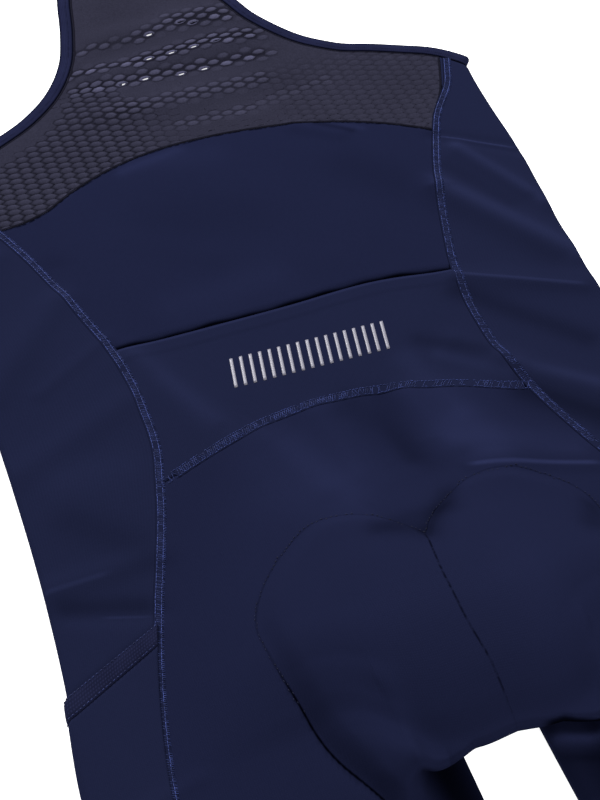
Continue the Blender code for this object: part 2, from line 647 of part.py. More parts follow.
def make_back(seat, yoke):
    """The back panel, and the pocket that lies on its lower half."""
    cut = body_grid(seat[-1], yoke[0, YOKE_SIDE_COLUMNS:-YOKE_SIDE_COLUMNS])
    outer = upper_layer(cut[..., 0], cut[..., 1])
    pocket = outer[:POCKET_ROWS + 1].copy()
    outer[:POCKET_ROWS + 1, :, 2] -= POCKET_DROP
    panel("back_panel", outer, straight_down(outer))
    panel("back_pocket", pocket, straight_down(pocket), "side")


def seat_points():
    """Seat and both leg backs in one cut, with the cells between the legs left out."""
    sides = [side_stations(side)[0] for side in (-1, 1)]
    inner = np.array([-0.5, 0.0, 0.5])
    slit = seat_ups(INSEAM_ACROSS, CROTCH_UP)
    rows = []
    for index, (left, right) in enumerate(zip(*sides)):
        edge = float(inseam(slit[index]))
        outer_left = float(column(SIDE_SEAM, left))
        outer_right = float(column(SIDE_SEAM, right))
        across = np.concatenate([
            -(edge + (outer_left - edge)*SEAT_COLUMNS[::-1]),
            inner*edge,
            edge + (outer_right - edge)*SEAT_COLUMNS,
        ])
        up = np.array([seat_ups(place, column(WAIST_SEAM, place))[index] for place in across])
        up[[0, -1]] = left, right
        rows.append(np.stack([across, up], axis=1))
    cut = np.array(rows)
    keep = np.ones((cut.shape[0] - 1, cut.shape[1] - 1), bool)
    first = len(SEAT_COLUMNS) - 1
    keep[:len(LEG_ROWS), first:first + len(inner) + 1] = False
    return upper_layer(cut[..., 0], cut[..., 1]), keep


def make_seat():
    """The seat panel, whose rim round the gap between the legs faces into that gap."""
    points, keep = seat_points()
    normals = square_edges(face_normals(points))
    rows = len(LEG_ROWS)
    first = len(SEAT_COLUMNS) - 1
    last = first + 4
    normals[:rows, first] = (1.0, 0.0, 0.0)
    normals[:rows, last] = (-1.0, 0.0, 0.0)
    normals[rows, first:last + 1] = (0.0, -1.0, 0.0)
    normals[rows, first] = (0.7, -0.7, 0.0)
    normals[rows, last] = (-0.7, -0.7, 0.0)
    wall = closed_wall(points, points - CLOTH*normals, keep)
    make_object("seat_panel", wall, "navy")
    return points


def make_pad():
    """The folded seat pad: one rounded solid between the seat and the front panel."""
    fine = outline(PAD_SECTIONS, PAD_ROWS)
    share = np.sin(np.linspace(-0.5, 0.5, PAD_COLUMNS)*np.pi)
    across = fine[:, 1:2]*share[None, :]
    ups = np.repeat(fine[:, :1], PAD_COLUMNS, axis=1)
    top = upper_layer(across, ups) - np.array([0.0, 0.0, PAD_DROP])
    floor = np.stack([across, ups, np.full(ups.shape, CLOTH + SEAM_GAP)], axis=-1)
    make_object("seat_pad", closed_wall(top, floor), "foam", FOAM_ROUGHNESS)


def strap_points(side):
    """Strap from the yoke, over the shoulder fold and down the front to the front panel."""
    back = STRAP_BACK_RIGHT if side > 0 else STRAP_BACK_LEFT
    front = STRAP_FRONT_RIGHT if side > 0 else STRAP_FRONT_LEFT
    armhole = np.array(ARMHOLE_RIGHT if side > 0 else ARMHOLE_LEFT, float)
    over = armhole[armhole[:, 1] >= YOKE_TOP_UP]
    radius = YOKE_HEIGHT/2.0
    line = armhole_line(side)[::-1]
    corner_up = front_corner(side)
    back_ups = np.linspace(YOKE_TOP_UP + SEAM_GAP, SHOULDER_UP - radius, STRAP_BACK_ROWS + 1)[:-1]
    low = line[line[:, 1] > corner_up + 2.0][1:]
    front_ups = np.concatenate([back_ups[:0:-1], [YOKE_TOP_UP], low[:, 1], [corner_up],
                                np.linspace(corner_up, FRONT_TOP_UP + SEAM_GAP, 4)[1:]])
    stations = [(up, YOKE_HEIGHT, back) for up in back_ups]
    for angle in STRAP_TURN:
        lift = radius*(1.0 + np.sin(angle))
        stations.append((SHOULDER_UP - radius*(1.0 - np.cos(angle)), lift, back))
    stations += [(up, 0.0, front) for up in front_ups]
    rows = []
    for up, height, inner_table in stations:
        inner = float(column(inner_table, up))
        if up >= YOKE_TOP_UP:
            outer = float(smooth_value(up, over[:, 1], over[:, 0]))
        elif up > corner_up:
            outer = float(np.interp(up, line[::-1, 1], line[::-1, 0]))
        else:
            outer = float(column(FRONT_SEAM, up))
        across = np.linspace(inner, outer, STRAP_COLUMNS + 1)
        level = np.ones(len(across))
        rows.append(np.stack([across, up*level, height*level], axis=1))
    return np.array(rows)


def front_corner(side):
    """Where the front side seam runs into the armhole."""
    up = ARMHOLE_BEND_UP
    for _ in range(SOLVE_STEPS):
        up = float(armhole_up(column(FRONT_SEAM, up), side))
    return up


def make_straps():
    grids = {}
    for side, word in ((-1, "left"), (1, "right")):
        points = strap_points(side)
        grids[side] = points
        outer = mirrored(points, side)
        inner = outer - CLOTH*square_edges(face_normals(outer))
        panel(f"strap_{word}", outer, inner, "net")
    return grids


def make_front():
    """Front panel with both leg fronts, lying on the surface."""
    share = FRONT_COLUMNS
    inner = np.array([-0.5, 0.0, 0.5])
    legs = np.linspace(HEM_SEAM_UP, CROTCH_UP, FRONT_LEG_ROWS + 1)
    low_ups = np.concatenate([legs, np.linspace(CROTCH_UP, FRONT_BODY_UP, FRONT_BODY_ROWS + 1)[1:]])
    ups = np.concatenate([low_ups, np.linspace(FRONT_BODY_UP, FRONT_TOP_UP, FRONT_NECK_ROWS + 1)[1:]])
    rows = []
    for up in ups:
        edge = float(inseam(up))
        outer = float(column(FRONT_SEAM, up)) - FRONT_GAP
        across = np.concatenate([-(edge + (outer - edge)*share[::-1]), inner*edge,
                                 edge + (outer - edge)*share])
        part = max(0.0, (up - low_ups[-1])/(FRONT_TOP_UP - low_ups[-1]))
        ends = np.abs(across) - NECKLINE[-1][0]
        near = np.abs(ends) < NECK_CORNER
        across = np.where(near, across - part*ends*np.sign(across), across)
        neck = np.where(ends < -NECK_CORNER, column(NECKLINE, across), FRONT_TOP_UP)
        reach = up + part*(neck - FRONT_TOP_UP)
        rows.append(np.stack([across, reach, np.zeros(len(across))], axis=1))
    outer = np.array(rows)[:, ::-1]
    inner_face = outer + np.array([0.0, 0.0, CLOTH])
    keep = np.ones((outer.shape[0] - 1, outer.shape[1] - 1), bool)
    first = len(share) - 1
    keep[:FRONT_LEG_ROWS, first:first + len(inner) + 1] = False
    make_object("front_panel", closed_wall(outer, inner_face, keep), "navy")
    return outer


def sew_binding(name, edge, normals, side=1):
    """A folded tape beside a closed edge: its width runs on from the panels' faces.

    The edge runs round the opening so that the opening is on its left, seen from outside.
    """
    step = np.roll(edge, -1, axis=0) - edge
    slope = step/(step**2).sum(axis=1, keepdims=True)
    outward = unit(np.cross(normals, slope + np.roll(slope, 1, axis=0)))
    steps = np.array([BINDING_WIDTH, 0.8*BINDING_WIDTH, 0.2*BINDING_WIDTH, PLY_GAP])
    raise_by = BINDING_RAISE*np.array([-0.5, 1.0, 1.0, 0.0])
    spread = edge[:, None] + outward[:, None]*steps[None, :, None]
    outer = spread + normals[:, None]*raise_by[None, :, None]
    inner = spread - normals[:, None]*BINDING_DEPTH
    outer[..., 2] = np.maximum(outer[..., 2], 0.0)
    wall = closed_wall(mirrored(outer, side), mirrored(inner, side), wrap_rows=True)
    make_object(name, wall, "trim", TRIM_ROUGHNESS)


def edge_of(points, rows, columns, flat=False):
    """Points and normals along one edge of a panel's grid, upright where the panel is flat."""
    normals = unit(square_edges(face_normals(points)))
    if flat:
        normals = normals*0.0 + np.array([0.0, 0.0, 1.0])
    return np.concatenate([points[rows, columns], normals[rows, columns]], axis=-1)


def make_armhole_bindings(straps, yoke, sides):
    """One tape round each armhole: down the back, round the side fold and up the front."""
    for side, word in ((-1, "left"), (1, "right")):
        strap = edge_of(straps[side], slice(None), -1)
        back_rows = STRAP_BACK_ROWS + len(STRAP_TURN)//2
        arm = edge_of(mirrored(yoke, side), -1, slice(-1 - YOKE_ARM_COLUMNS, None),
                      flat=True)
        turn = edge_of(sides[side], -1, slice(None))
        front = strap[back_rows:]
        corner = np.argmin(np.abs(front[:, 1] - front_corner(side)))
        edge = np.concatenate([strap[:back_rows][::-1], arm[1:], turn[1:], front[:corner][::-1]])
        sew_binding(f"armhole_binding_{word}", edge[:, :3], edge[:, 3:], side)


def make_neck_binding(straps, yoke, front):
    """One tape round the neck: the yoke, up and over the right strap, the front, the left strap."""
    start = YOKE_ARM_COLUMNS + STRAP_COLUMNS
    neck = edge_of(yoke, -1, slice(start, start + NECK_COLUMNS + 1), flat=True)
    right = edge_of(straps[1], slice(None), 0)
    left = edge_of(straps[-1], slice(None), 0)*np.array([-1, 1, 1, -1, 1, 1])
    line = edge_of(front, -1, slice(None))
    line = line[np.abs(line[:, 0]) < NECKLINE[-1][0] + 1.0]
    edge = np.concatenate([neck, right[1:], line[1:-1], left[:0:-1]])
    sew_binding("neck_binding", edge[:, :3], edge[:, 3:])


def leg_pocket_top(turns, side):
    """Place of the leg pocket's mouth on each column round the side, falling round the leg."""
    up = np.full(len(turns), LEG_POCKET_MOUTH_UP)
    for _ in range(SOLVE_STEPS):
        across, height = side_section(up, turns, side, LEG_LIFT)
        steps = np.hypot(np.diff(across), np.diff(height))
        up = LEG_POCKET_MOUTH_UP - LEG_POCKET_SLOPE*np.concatenate([[0.0], np.cumsum(steps)])
    return up


def laid_over(points, inside, outside):
    """Outer and inner face of a layer that lies on a panel, kept above the floor."""
    normals = square_edges(face_normals(points))
    outer = points + outside*normals
    outer[..., 2] = np.maximum(outer[..., 2], 0.0)
    return outer, points + inside*normals


def make_leg_pockets():
    """A pocket on each side panel, round the thigh, with an elastic band at its mouth."""
    turns = side_turns()
    for side, word in ((-1, "left"), (1, "right")):
        mouth = leg_pocket_top(turns, side)
        part = np.linspace(0.0, 1.0, LEG_POCKET_ROWS + 1)[:, None]
        ups = (1 - part)*LEG_POCKET_UP + part*(mouth - SEAM_GAP)[None, :]
        points = mirrored(side_grid(ups, side, turns), side)
        outer, inner = laid_over(points, PLY_GAP, PLY_GAP + CLOTH)
        panel(f"leg_pocket_{word}", outer, inner, "side")
        part = np.linspace(0.0, 1.0, POCKET_BAND_ROWS + 1)[:, None]
        ups = mouth[None, :] + part*POCKET_BAND_WIDTH
        points = mirrored(side_grid(ups, side, turns), side)
        outer, inner = laid_over(points, PLY_GAP, PLY_GAP + POCKET_BAND)
        panel(f"pocket_band_{word}", outer, inner, "trim")


def make_leg_bands():
    """The elastic band at each hem: a flat tube round both layers of the leg."""
    radius = BODY_HEIGHT/2.0
    ups = np.linspace(HEM_UP, HEM_SEAM_UP - SEAM_GAP, LEG_BAND_ROWS + 1)
    for side, word in ((-1, "left"), (1, "right")):
        rows = []
        for up in ups:
            low, high = inseam(up) + radius, side_fold(up, side) - radius
            run = np.linspace(0.0, 1.0, LEG_BAND_COLUMNS + 1)
            inner_turn = np.radians([-135, 180, 135])
            top = np.stack([low + (high - low)*run, 2*radius + 0*run], axis=1)
            turn = FOLD_TURN[1:-1]
            fold = np.stack([high + radius*np.cos(turn), radius*(1 + np.sin(turn))], axis=1)
            bottom = np.stack([high + (low - high)*run, 0*run], axis=1)
            inner = np.stack([low + radius*np.cos(inner_turn), radius*(1 + np.sin(inner_turn))], 1)
            ring = np.concatenate([top, fold, bottom, inner])
            rows.append(np.stack([ring[:, 0], np.full(len(ring), up), ring[:, 1]], axis=1))
        points = mirrored(np.array(rows), side)
        wall = closed_wall(points, moved(points, -CLOTH, wrap=True), wrap=True)
        make_object(f"leg_band_{word}", wall, "trim", TRIM_ROUGHNESS)


def remove_objects():
    for piece in list(bpy.data.objects):
        bpy.data.objects.remove(piece, do_unlink=True)


def main():
    remove_objects()
    seat = make_seat()
    sides = make_side_panels()
    yoke = make_yoke()
    make_back(seat, yoke)
    front = make_front()
    make_pad()
    straps = make_straps()
    make_armhole_bindings(straps, yoke, sides)
    make_neck_binding(straps, yoke, front)
    make_leg_pockets()
    make_leg_bands()


main()
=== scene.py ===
"""Cycling bib shorts, dressed: knitted panels, net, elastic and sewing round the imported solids.

The garment lies face down. Its tables and functions are the ones that its solids are cut from,
read here on finer grids, with the smaller creases added. Tables are in millimetres: "across"
runs to the right seen from above, "up" runs along the garment from the crotch to the shoulders.
"""
import math

import bmesh
import bpy
import numpy as np
from mathutils import Matrix, Vector


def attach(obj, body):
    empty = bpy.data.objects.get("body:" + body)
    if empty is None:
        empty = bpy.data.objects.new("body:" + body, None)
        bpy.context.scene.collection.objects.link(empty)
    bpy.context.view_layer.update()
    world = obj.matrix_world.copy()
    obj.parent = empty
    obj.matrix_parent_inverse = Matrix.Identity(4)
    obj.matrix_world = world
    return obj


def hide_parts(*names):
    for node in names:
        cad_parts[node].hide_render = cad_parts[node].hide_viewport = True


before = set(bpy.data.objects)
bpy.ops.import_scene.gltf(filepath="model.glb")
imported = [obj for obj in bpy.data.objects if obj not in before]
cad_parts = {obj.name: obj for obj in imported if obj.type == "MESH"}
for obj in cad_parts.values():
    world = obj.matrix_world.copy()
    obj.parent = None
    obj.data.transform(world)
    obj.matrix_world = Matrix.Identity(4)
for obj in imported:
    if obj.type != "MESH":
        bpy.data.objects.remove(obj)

bl_info = {
    "name": "Cycling bib shorts",
    "version": (1, 0, 0),
    "blender": (4, 5, 0),
    "location": "3D View > Sidebar > Bib shorts",
    "description": "Dresses the laid-out shorts with knit, net, elastic and sewing",
    "category": "Add Mesh",
}

# Driving dimensions
METRES_PER_MM = 0.001
CLOTH = 1.2                 # wall of every cut panel
SEAM_GAP = 0.4              # between two panels that are sewn together
PLY_GAP = 0.3               # between two layers that lie on each other
FRONT_GAP = 0.2             # added at the long seams of the front panel
FRONT_BODY_UP = 390.0       # the front panel's rows bend to the neckline above this
WAIST_GAP = 0.6             # between the seat panel and the panels above it
SHOULDER_UP = 745.0         # top fold of the straps
YOKE_TOP_UP = 695.0         # where the straps leave the yoke
FRONT_TOP_UP = 470.0        # where the straps meet the front panel
HEM_SEAM_UP = -150.0        # where the leg bands are sewn on
HEM_UP = -200.0             # lower edge of the leg bands
BODY_HEIGHT = 6.0           # height of the upper layer of the body
YOKE_HEIGHT = 5.0           # height of the upper layer of the yoke and straps
YOKE_FADE_UP = (470.0, 560.0)    # between these the body's height falls to the yoke's
CROTCH_UP = 52.0            # where the seat and front panels meet between the legs
INSEAM_ACROSS = 20.0        # inner edge of each leg at the crotch
INSEAM_HEM_ACROSS = 24.0    # and at the hem
INSEAM_ROUND = 8.0          # width over which the upper layer rolls down to the inseam
SEAM_LIFT = CLOTH + PLY_GAP  # height of the upper layer's rim where it meets the lower one
FOLD_RUN = 8.0              # beside a side fold the upper layer comes to its even height
BINDING_WIDTH = 9.2
BINDING_RAISE = 0.4         # how far a binding stands above the panel beside it
BINDING_DEPTH = 1.6         # how far it reaches below the panel's outer face
POCKET_DROP = CLOTH + SEAM_GAP   # the back panel lies this much lower under its pocket
POCKET_STEP = 6.0           # width over which it drops above the pocket's mouth
LEG_POCKET_UP = -40.0       # lower edge of the leg pockets
LEG_POCKET_MOUTH_UP = 138.0  # mouth of the leg pocket at the back side seam
LEG_POCKET_SLOPE = 0.54     # fall of the mouth for each millimetre round the leg
ARMHOLE_BEND_UP = 600.0     # below this the armhole runs out to the side fold
ARMHOLE_SHIFT = 120.0       # stretch below the armhole where the side panel's rows follow it
POCKET_BAND_WIDTH = 13.0
POCKET_BAND = 1.9           # thickness of the elastic band at the mouth
LEG_LIFT_FOOT = (-130.0, -60.0)  # each pair gives where the room is nil and where full
LEG_LIFT_TOP = (175.0, 155.0)
LEG_LIFT = CLOTH + PLY_GAP  # room under the side panel for the pocket it carries

# The seat dome, in the flat cut before it leans
DOME_CLEAR = 8.0            # reach of the dome beyond the side seam
LIP_RISE = 24.0             # dome height of the lip over the crotch
LEAN_UP = (60.0, 150.0)     # the lean is full below the first and gone above the second
PAD_STEP = 3.5              # rise of the seat over the edge of the pad
PAD_EDGE = 12.0
PAD_STEP_UP = (0.0, 30.0)   # the step is gone below the first and full above the second
PAD_CREASE = 4.5            # depth of the crease beside the pad's lower sides
PAD_CREASE_TOP = (100.0, 20.0)   # each pair gives where the crease is shallow and where deep
PAD_CREASE_FOOT = (-40.0, 0.0)
PAD_CREASE_ACROSS = (45.0, 62.0)
PAD_CREASE_WIDTHS = (7.0, 12.0)
PAD_CENTRE_UP = 95.0        # the pad's outline is measured round this height
PAD_DROP = 6.0              # from the seat's outer face down to the folded pad
LEG_RIDGE_ACROSS = 51.0     # crest of the ridge down each leg
LEG_RIDGE_WIDTHS = (7.0, 30.0)   # its reach towards the inseam and towards the side

# Edge of the side panel on the back: up, distance from the centre line
SIDE_SEAM = [
    (-200, 143), (-120, 150), (-60, 156), (0, 157), (55, 154), (100, 146), (125, 140), (160, 130),
    (200, 117), (220, 111), (240, 106), (260, 101.5), (280, 100), (300, 100), (340, 104),
    (380, 114), (420, 126), (460, 141.5), (479, 150), (492, 157), (503, 163), (522, 170.5),
    (533, 174.5), (545, 178),
]
# Silhouette of the side fold: up, left and right distances from the centre line
SIDE_FOLD = [
    (-200, 180, 180), (-120, 187, 187), (-60, 191, 191), (0, 193, 193), (68, 192, 192),
    (133, 185, 185), (190, 181.5, 181), (290, 180, 178), (331, 180, 179), (377, 182, 182),
    (426, 186, 186.5), (479, 188, 187.5), (502, 188.3, 188.5), (516, 188.5, 189.6),
    (530, 188.7, 191), (545, 189, 192),
]
# Edge of the side panel on the front: up, distance from the centre line
FRONT_SEAM = [
    (-200, 104), (-100, 112), (0, 124), (55, 126), (150, 118), (220, 112), (280, 112), (340, 116),
    (400, 122), (470, 134), (545, 150),
]
# Inner edge of the armhole binding, from the side fold to the shoulder: across, up
ARMHOLE_RIGHT = [
    (194, 519), (189.5, 522), (185.5, 527), (181, 532.2), (175, 537.8), (167.5, 543), (156, 548.5),
    (134, 558.5),
    (115, 566), (103.5, 574), (93, 583), (76, 606),
    (67, 623), (59, 646), (50, 673), (43.5, 695), (45, 708), (55, 722), (64.5, 733), (66, 738),
    (66, 745),
]
ARMHOLE_LEFT = [
    (192, 506), (180, 506), (173, 508.5), (163, 514), (148, 523.5), (124.5, 538.5), (97.5, 556),
    (77.5, 575.5), (62.8, 598),
    (56.5, 612), (48.5, 640), (41.5, 675), (38, 695), (40, 708), (52.5, 722), (64.5, 733), (66, 738),
    (66, 745),
]
# Inner edge of the strap on the back and on the front: up, distance from the centre line
STRAP_BACK_LEFT = [(695, 15), (708, 22), (719, 33), (728, 40), (738, 42), (745, 42)]
STRAP_BACK_RIGHT = [(695, 25), (708, 29), (719, 35), (728, 40), (738, 42), (745, 42)]
STRAP_FRONT_LEFT = [(470, 80), (500, 80), (540, 62), (590, 38), (640, 24)] + STRAP_BACK_LEFT
STRAP_FRONT_RIGHT = [(470, 80), (500, 82), (540, 70), (590, 50), (640, 33)] + STRAP_BACK_RIGHT
# Neck edge of the yoke: across, up
NECK_BACK = [(-15, 695), (-6, 686), (5, 683), (16, 686), (25, 695)]
# Lower edge of the yoke, from left to right: across, up
YOKE_SEAM = [
    (-141, 461), (-116, 466), (-87, 484), (-59, 497), (-32, 504), (0, 506.5), (32, 505),
    (64, 500), (94, 491), (118, 480), (142, 465.5),
]
# Mouth of the back pocket, and the seam across the waist
POCKET_MOUTH = [(-104, 340), (0, 343), (57, 345.5), (104, 339)]
WAIST_SEAM = [(-108, 236), (-77, 249), (-39, 261), (0, 265), (39, 261), (77, 248), (108, 237)]
# Front neckline: across, up
NECKLINE = [(-80, 470), (-60, 447), (-30, 430), (0, 425), (30, 430), (60, 447), (80, 470)]
# Rise of the seat along its centre: up, rise
DOME_RISE = [
    (52, 24), (60, 25), (72, 31), (86, 36.5), (104, 38), (120, 33), (136, 26.5), (155, 18.5),
    (178, 11), (205, 5), (235, 1), (262, 0),
]
# Where the dome springs from the lower layer: distance from the centre, up, run of its rise
DOME_SPRING = [
    (0, 52, 6), (20, 52, 6), (28, 46, 9), (36, 36, 15), (44, 22, 26), (52, 4, 42),
    (60, -20, 64), (72, -50, 100), (85, -75, 140), (110, -95, 170), (160, -110, 190),
]
# Rows of the seat's grid that carry the lip: distance from the centre, up, run
LIP_BAND = DOME_SPRING[:6] + [(62, -10, 56), (85, -22, 70), (120, -30, 85)]
# How far the lip leans out over the legs: distance from the centre, lean
LIP_LEAN = [(0, 33), (20, 35), (28, 34), (36, 31), (44, 26), (52, 18), (60, 9), (74, 0)]
# Rise of the soft ridge that runs from the pad down each leg: up, rise
LEG_RIDGE = [(-150, 0), (-110, 0.5), (-70, 2), (-30, 5), (0, 9), (22, 13), (50, 10), (90, 0)]
# Sewn outline of the seat pad: across, up
PAD_OUTLINE = [
    (4, 145), (12, 156), (28, 171), (48, 183), (66, 183), (84, 173), (97, 158), (101, 135),
    (100, 105), (95, 75), (86, 45), (74, 16), (60, -5), (0, -10), (-56, -5), (-69, 16),
    (-80, 40), (-87, 74), (-91, 105), (-90, 128), (-81, 146), (-63, 166), (-46, 178),
    (-30, 179), (-14, 171), (-3, 157),
]
# Half width of the folded pad: up, half width
PAD_SECTIONS = [(68, 62), (80, 72), (100, 80), (130, 77), (150, 62), (163, 42), (170, 22)]
# Largest folds of the upper layer: start across, up, end across, up, height, two widths
FOLDS = [
    (121, 414, 177, 328, 2.4, 11, 11),
    (150, 440, 181, 376, 1.9, 8, 8),
    (103, 330, 172, 303, 2.2, 10, 10),
    (101, 262, 140, 222, 2.6, 8, 8),
    (140, 459, 184, 431, -1.6, 6, 6),
    (80, 282, 103, 257, 1.8, 9, 9),
    (-120, 193, -181, 188, 1.7, 8, 8),
    (-131, 157, -172, 170, -1.3, 6, 6),
    (-95, 332, -70, 272, 1.4, 13, 13),
    (-118, 418, -121, 402, -1.4, 9, 9),
    (-42, 247, -28, 200, 2.2, 10, 10),
    (0, 248, 4, 205, -1.2, 8, 8),
    (14, 246, 18, 196, 1.8, 8, 8),
    (66, 238, 72, 198, 3.4, 18, 18),
    (60, 196, 112, 182, 2.2, 6, 6),
    (-150, 438, -182, 366, 2.1, 9, 9),
    (-122, 392, -176, 330, 2.3, 11, 11),
    (-108, 300, -176, 268, 1.6, 10, 10),
    (96, -20, 150, -64, 2.0, 11, 11),
    (-92, -36, -150, -70, 2.2, 12, 12),
    (88, -104, 132, -118, 1.5, 9, 9),
    (-70, -96, -128, -122, 1.6, 10, 10),
]
# Waves across the yoke: start across, up, end across, up, height, two widths
YOKE_WAVES = [
    (-30, 630, 46, 638, 2.4, 12, 12),
    (-42, 592, 54, 600, 2.6, 12, 12),
    (-60, 552, 60, 556, 2.2, 12, 12),
    (60, 498, 84, 481, 1.2, 6, 6),
]

# Steps of the grids
SEAT_COLUMNS = np.array([0.0, 0.02, 0.06, 0.12, 0.175, 0.215, 0.26, 0.32, 0.39, 0.47, 0.56,
                         0.66, 0.77, 0.88, 1.0])
LEG_ROWS = np.array([0.0, 0.16, 0.31, 0.45, 0.58, 0.7, 0.8, 0.88, 0.95])
LIP_ROWS = np.array([0.0, 0.32, 0.6, 1.0])
SEAT_ROWS = np.array([0.03, 0.07, 0.12, 0.19, 0.27, 0.35, 0.43, 0.52, 0.61, 0.7, 0.8, 0.9, 1.0])

FOLD_TURN = np.radians([90, 45, 0, -45, -90])    # round the side fold, from its top down
SIDE_TOP_COLUMNS = 5        # steps of a side section before the fold
SIDE_BOTTOM_COLUMNS = 3     # and after it
SOLVE_STEPS = 12            # repeats that bring a corner onto both of its lines
FINE_POINTS = 600           # points along an outline from which a few are picked
SEAT_REACH = 140.0          # first guess at the side seam's distance from the centre
TAPE_STEP = 1.7             # between the rings of a folded tape


def smooth_value(at, knots, values):
    """Read a smooth curve through (knots, values), straight beyond both of its ends."""
    knots = np.asarray(knots, float)
    values = np.asarray(values, float)
    at = np.asarray(at, float)
    steps = np.diff(knots)
    slopes = np.diff(values)/steps
    inner = (slopes[:-1]*steps[1:] + slopes[1:]*steps[:-1])/(steps[:-1] + steps[1:])
    steepest = 3.0*np.minimum(np.abs(slopes[:-1]), np.abs(slopes[1:]))
    inner = np.clip(inner, -steepest, steepest)
    tangents = np.concatenate([slopes[:1], inner, slopes[-1:]])
    index = np.clip(np.searchsorted(knots, at) - 1, 0, len(steps) - 1)
    part = np.clip((at - knots[index])/steps[index], 0.0, 1.0)
    cubic = ((2*part**3 - 3*part**2 + 1)*values[index]
             + (part**3 - 2*part**2 + part)*steps[index]*tangents[index]
             + (3*part**2 - 2*part**3)*values[index + 1]
             + (part**3 - part**2)*steps[index]*tangents[index + 1])
    before = np.minimum(at - knots[0], 0.0)*tangents[0]
    after = np.maximum(at - knots[-1], 0.0)*tangents[-1]
    return cubic + before + after


def column(table, at, index=1):
    """Read one column of a table whose first column is the position."""
    rows = np.array(table, float)
    return smooth_value(at, rows[:, 0], rows[:, index])


def held(table, at, index=1):
    """Read one column of a table, which keeps its first and last values beyond its ends."""
    return column(table, np.clip(at, table[0][0], table[-1][0]), index)


def run_lengths(points):
    """Distance along a line of points at each of them."""
    return np.concatenate([[0.0], np.cumsum(np.linalg.norm(np.diff(points, axis=0), axis=1))])


def read_along(at, lengths, values):
    """Values at distances along a line, by even change between its points."""
    return np.stack([np.interp(at, lengths, values[:, k]) for k in range(values.shape[1])], -1)


def settle(place, read):
    """Repeat a reading that brings a place nearer to where two lines meet."""
    for _ in range(SOLVE_STEPS):
        place = read(place)
    return place


def off_line(across, up, line):
    """Distances along a straight line and to its left, and the line's length."""
    x0, y0, x1, y1 = line
    length = math.hypot(x1 - x0, y1 - y0)
    run_x, run_y = (x1 - x0)/length, (y1 - y0)/length
    along = (across - x0)*run_x + (up - y0)*run_y
    return along, run_x*(up - y0) - run_y*(across - x0), length


def outline(table, count):
    """Points evenly spaced along the smooth line through a table of places."""
    rows = np.array(table, float)
    lengths = run_lengths(rows)
    at = np.linspace(0.0, lengths[-1], count)
    return np.stack([smooth_value(at, lengths, rows[:, k]) for k in range(rows.shape[1])], axis=1)


def ease(value, start, end):
    """Rise smoothly from 0 at start to 1 at end."""
    part = np.clip((value - start)/(end - start), 0.0, 1.0)
    return part*part*(3.0 - 2.0*part)


def side_fold(up, side):
    """Distance of the side fold from the centre line, on the left or on the right."""
    return column(SIDE_FOLD, up, 2 if side > 0 else 1)


def inseam(up):
    """Distance of a leg's inner edge from the centre line: it grows towards the hem."""
    return INSEAM_ACROSS + (INSEAM_HEM_ACROSS - INSEAM_ACROSS)*ease(up, CROTCH_UP, HEM_UP)


def fold_relief(across, up, folds):
    """Soft ridges and troughs, each fading with the distance from its line."""
    total = np.zeros(np.broadcast(across, up).shape)
    for x0, y0, x1, y1, height, width_left, width_right in folds:
        run = np.array([x1 - x0, y1 - y0], float)
        length = np.hypot(*run)
        run = run/length
        along = np.clip((across - x0)*run[0] + (up - y0)*run[1], 0.0, length)
        off_x = across - x0 - along*run[0]
        off_y = up - y0 - along*run[1]
        left = run[0]*off_y - run[1]*off_x > 0
        width = np.where(left, width_left, width_right)
        total = total + height*np.exp(-(off_x**2 + off_y**2)/width**2)
    return total


def pad_inside(across, up):
    """Distance inside the pad's sewn outline, measured along rays from its centre."""
    rows = np.array(PAD_OUTLINE, float)
    angles = np.arctan2(rows[:, 1] - PAD_CENTRE_UP, rows[:, 0])
    reach = np.hypot(rows[:, 0], rows[:, 1] - PAD_CENTRE_UP)
    order = np.argsort(angles)
    angles = angles[order]
    reach = reach[order]
    angles = np.concatenate([angles[-3:] - 2*np.pi, angles, angles[:3] + 2*np.pi])
    reach = np.concatenate([reach[-3:], reach, reach[:3]])
    here = np.arctan2(up - PAD_CENTRE_UP, across)
    return smooth_value(here, angles, reach) - np.hypot(across, up - PAD_CENTRE_UP)


def leg_height(across, up):
    """Height of the upper layer without the dome, rolled down to the inseam below the crotch."""
    distance = np.abs(across)
    height = BODY_HEIGHT - (BODY_HEIGHT - YOKE_HEIGHT)*ease(up, *YOKE_FADE_UP)
    ridge = held(LEG_RIDGE, up)
    off = distance - LEG_RIDGE_ACROSS
    width = np.where(off < 0, *LEG_RIDGE_WIDTHS)
    height = height + ridge*np.exp(-(off/width)**2)
    height = height + fold_relief(across, up, FOLDS + YOKE_WAVES + CREASES)
    beside = np.maximum(distance - inseam(up), 0.0)
    above = np.maximum(up - CROTCH_UP, 0.0)
    inward = np.clip(np.hypot(beside, above)/INSEAM_ROUND, 0.0, 1.0)
    roll = np.sqrt(1.0 - (1.0 - inward)**2)
    return SEAM_LIFT + (height - SEAM_LIFT)*roll


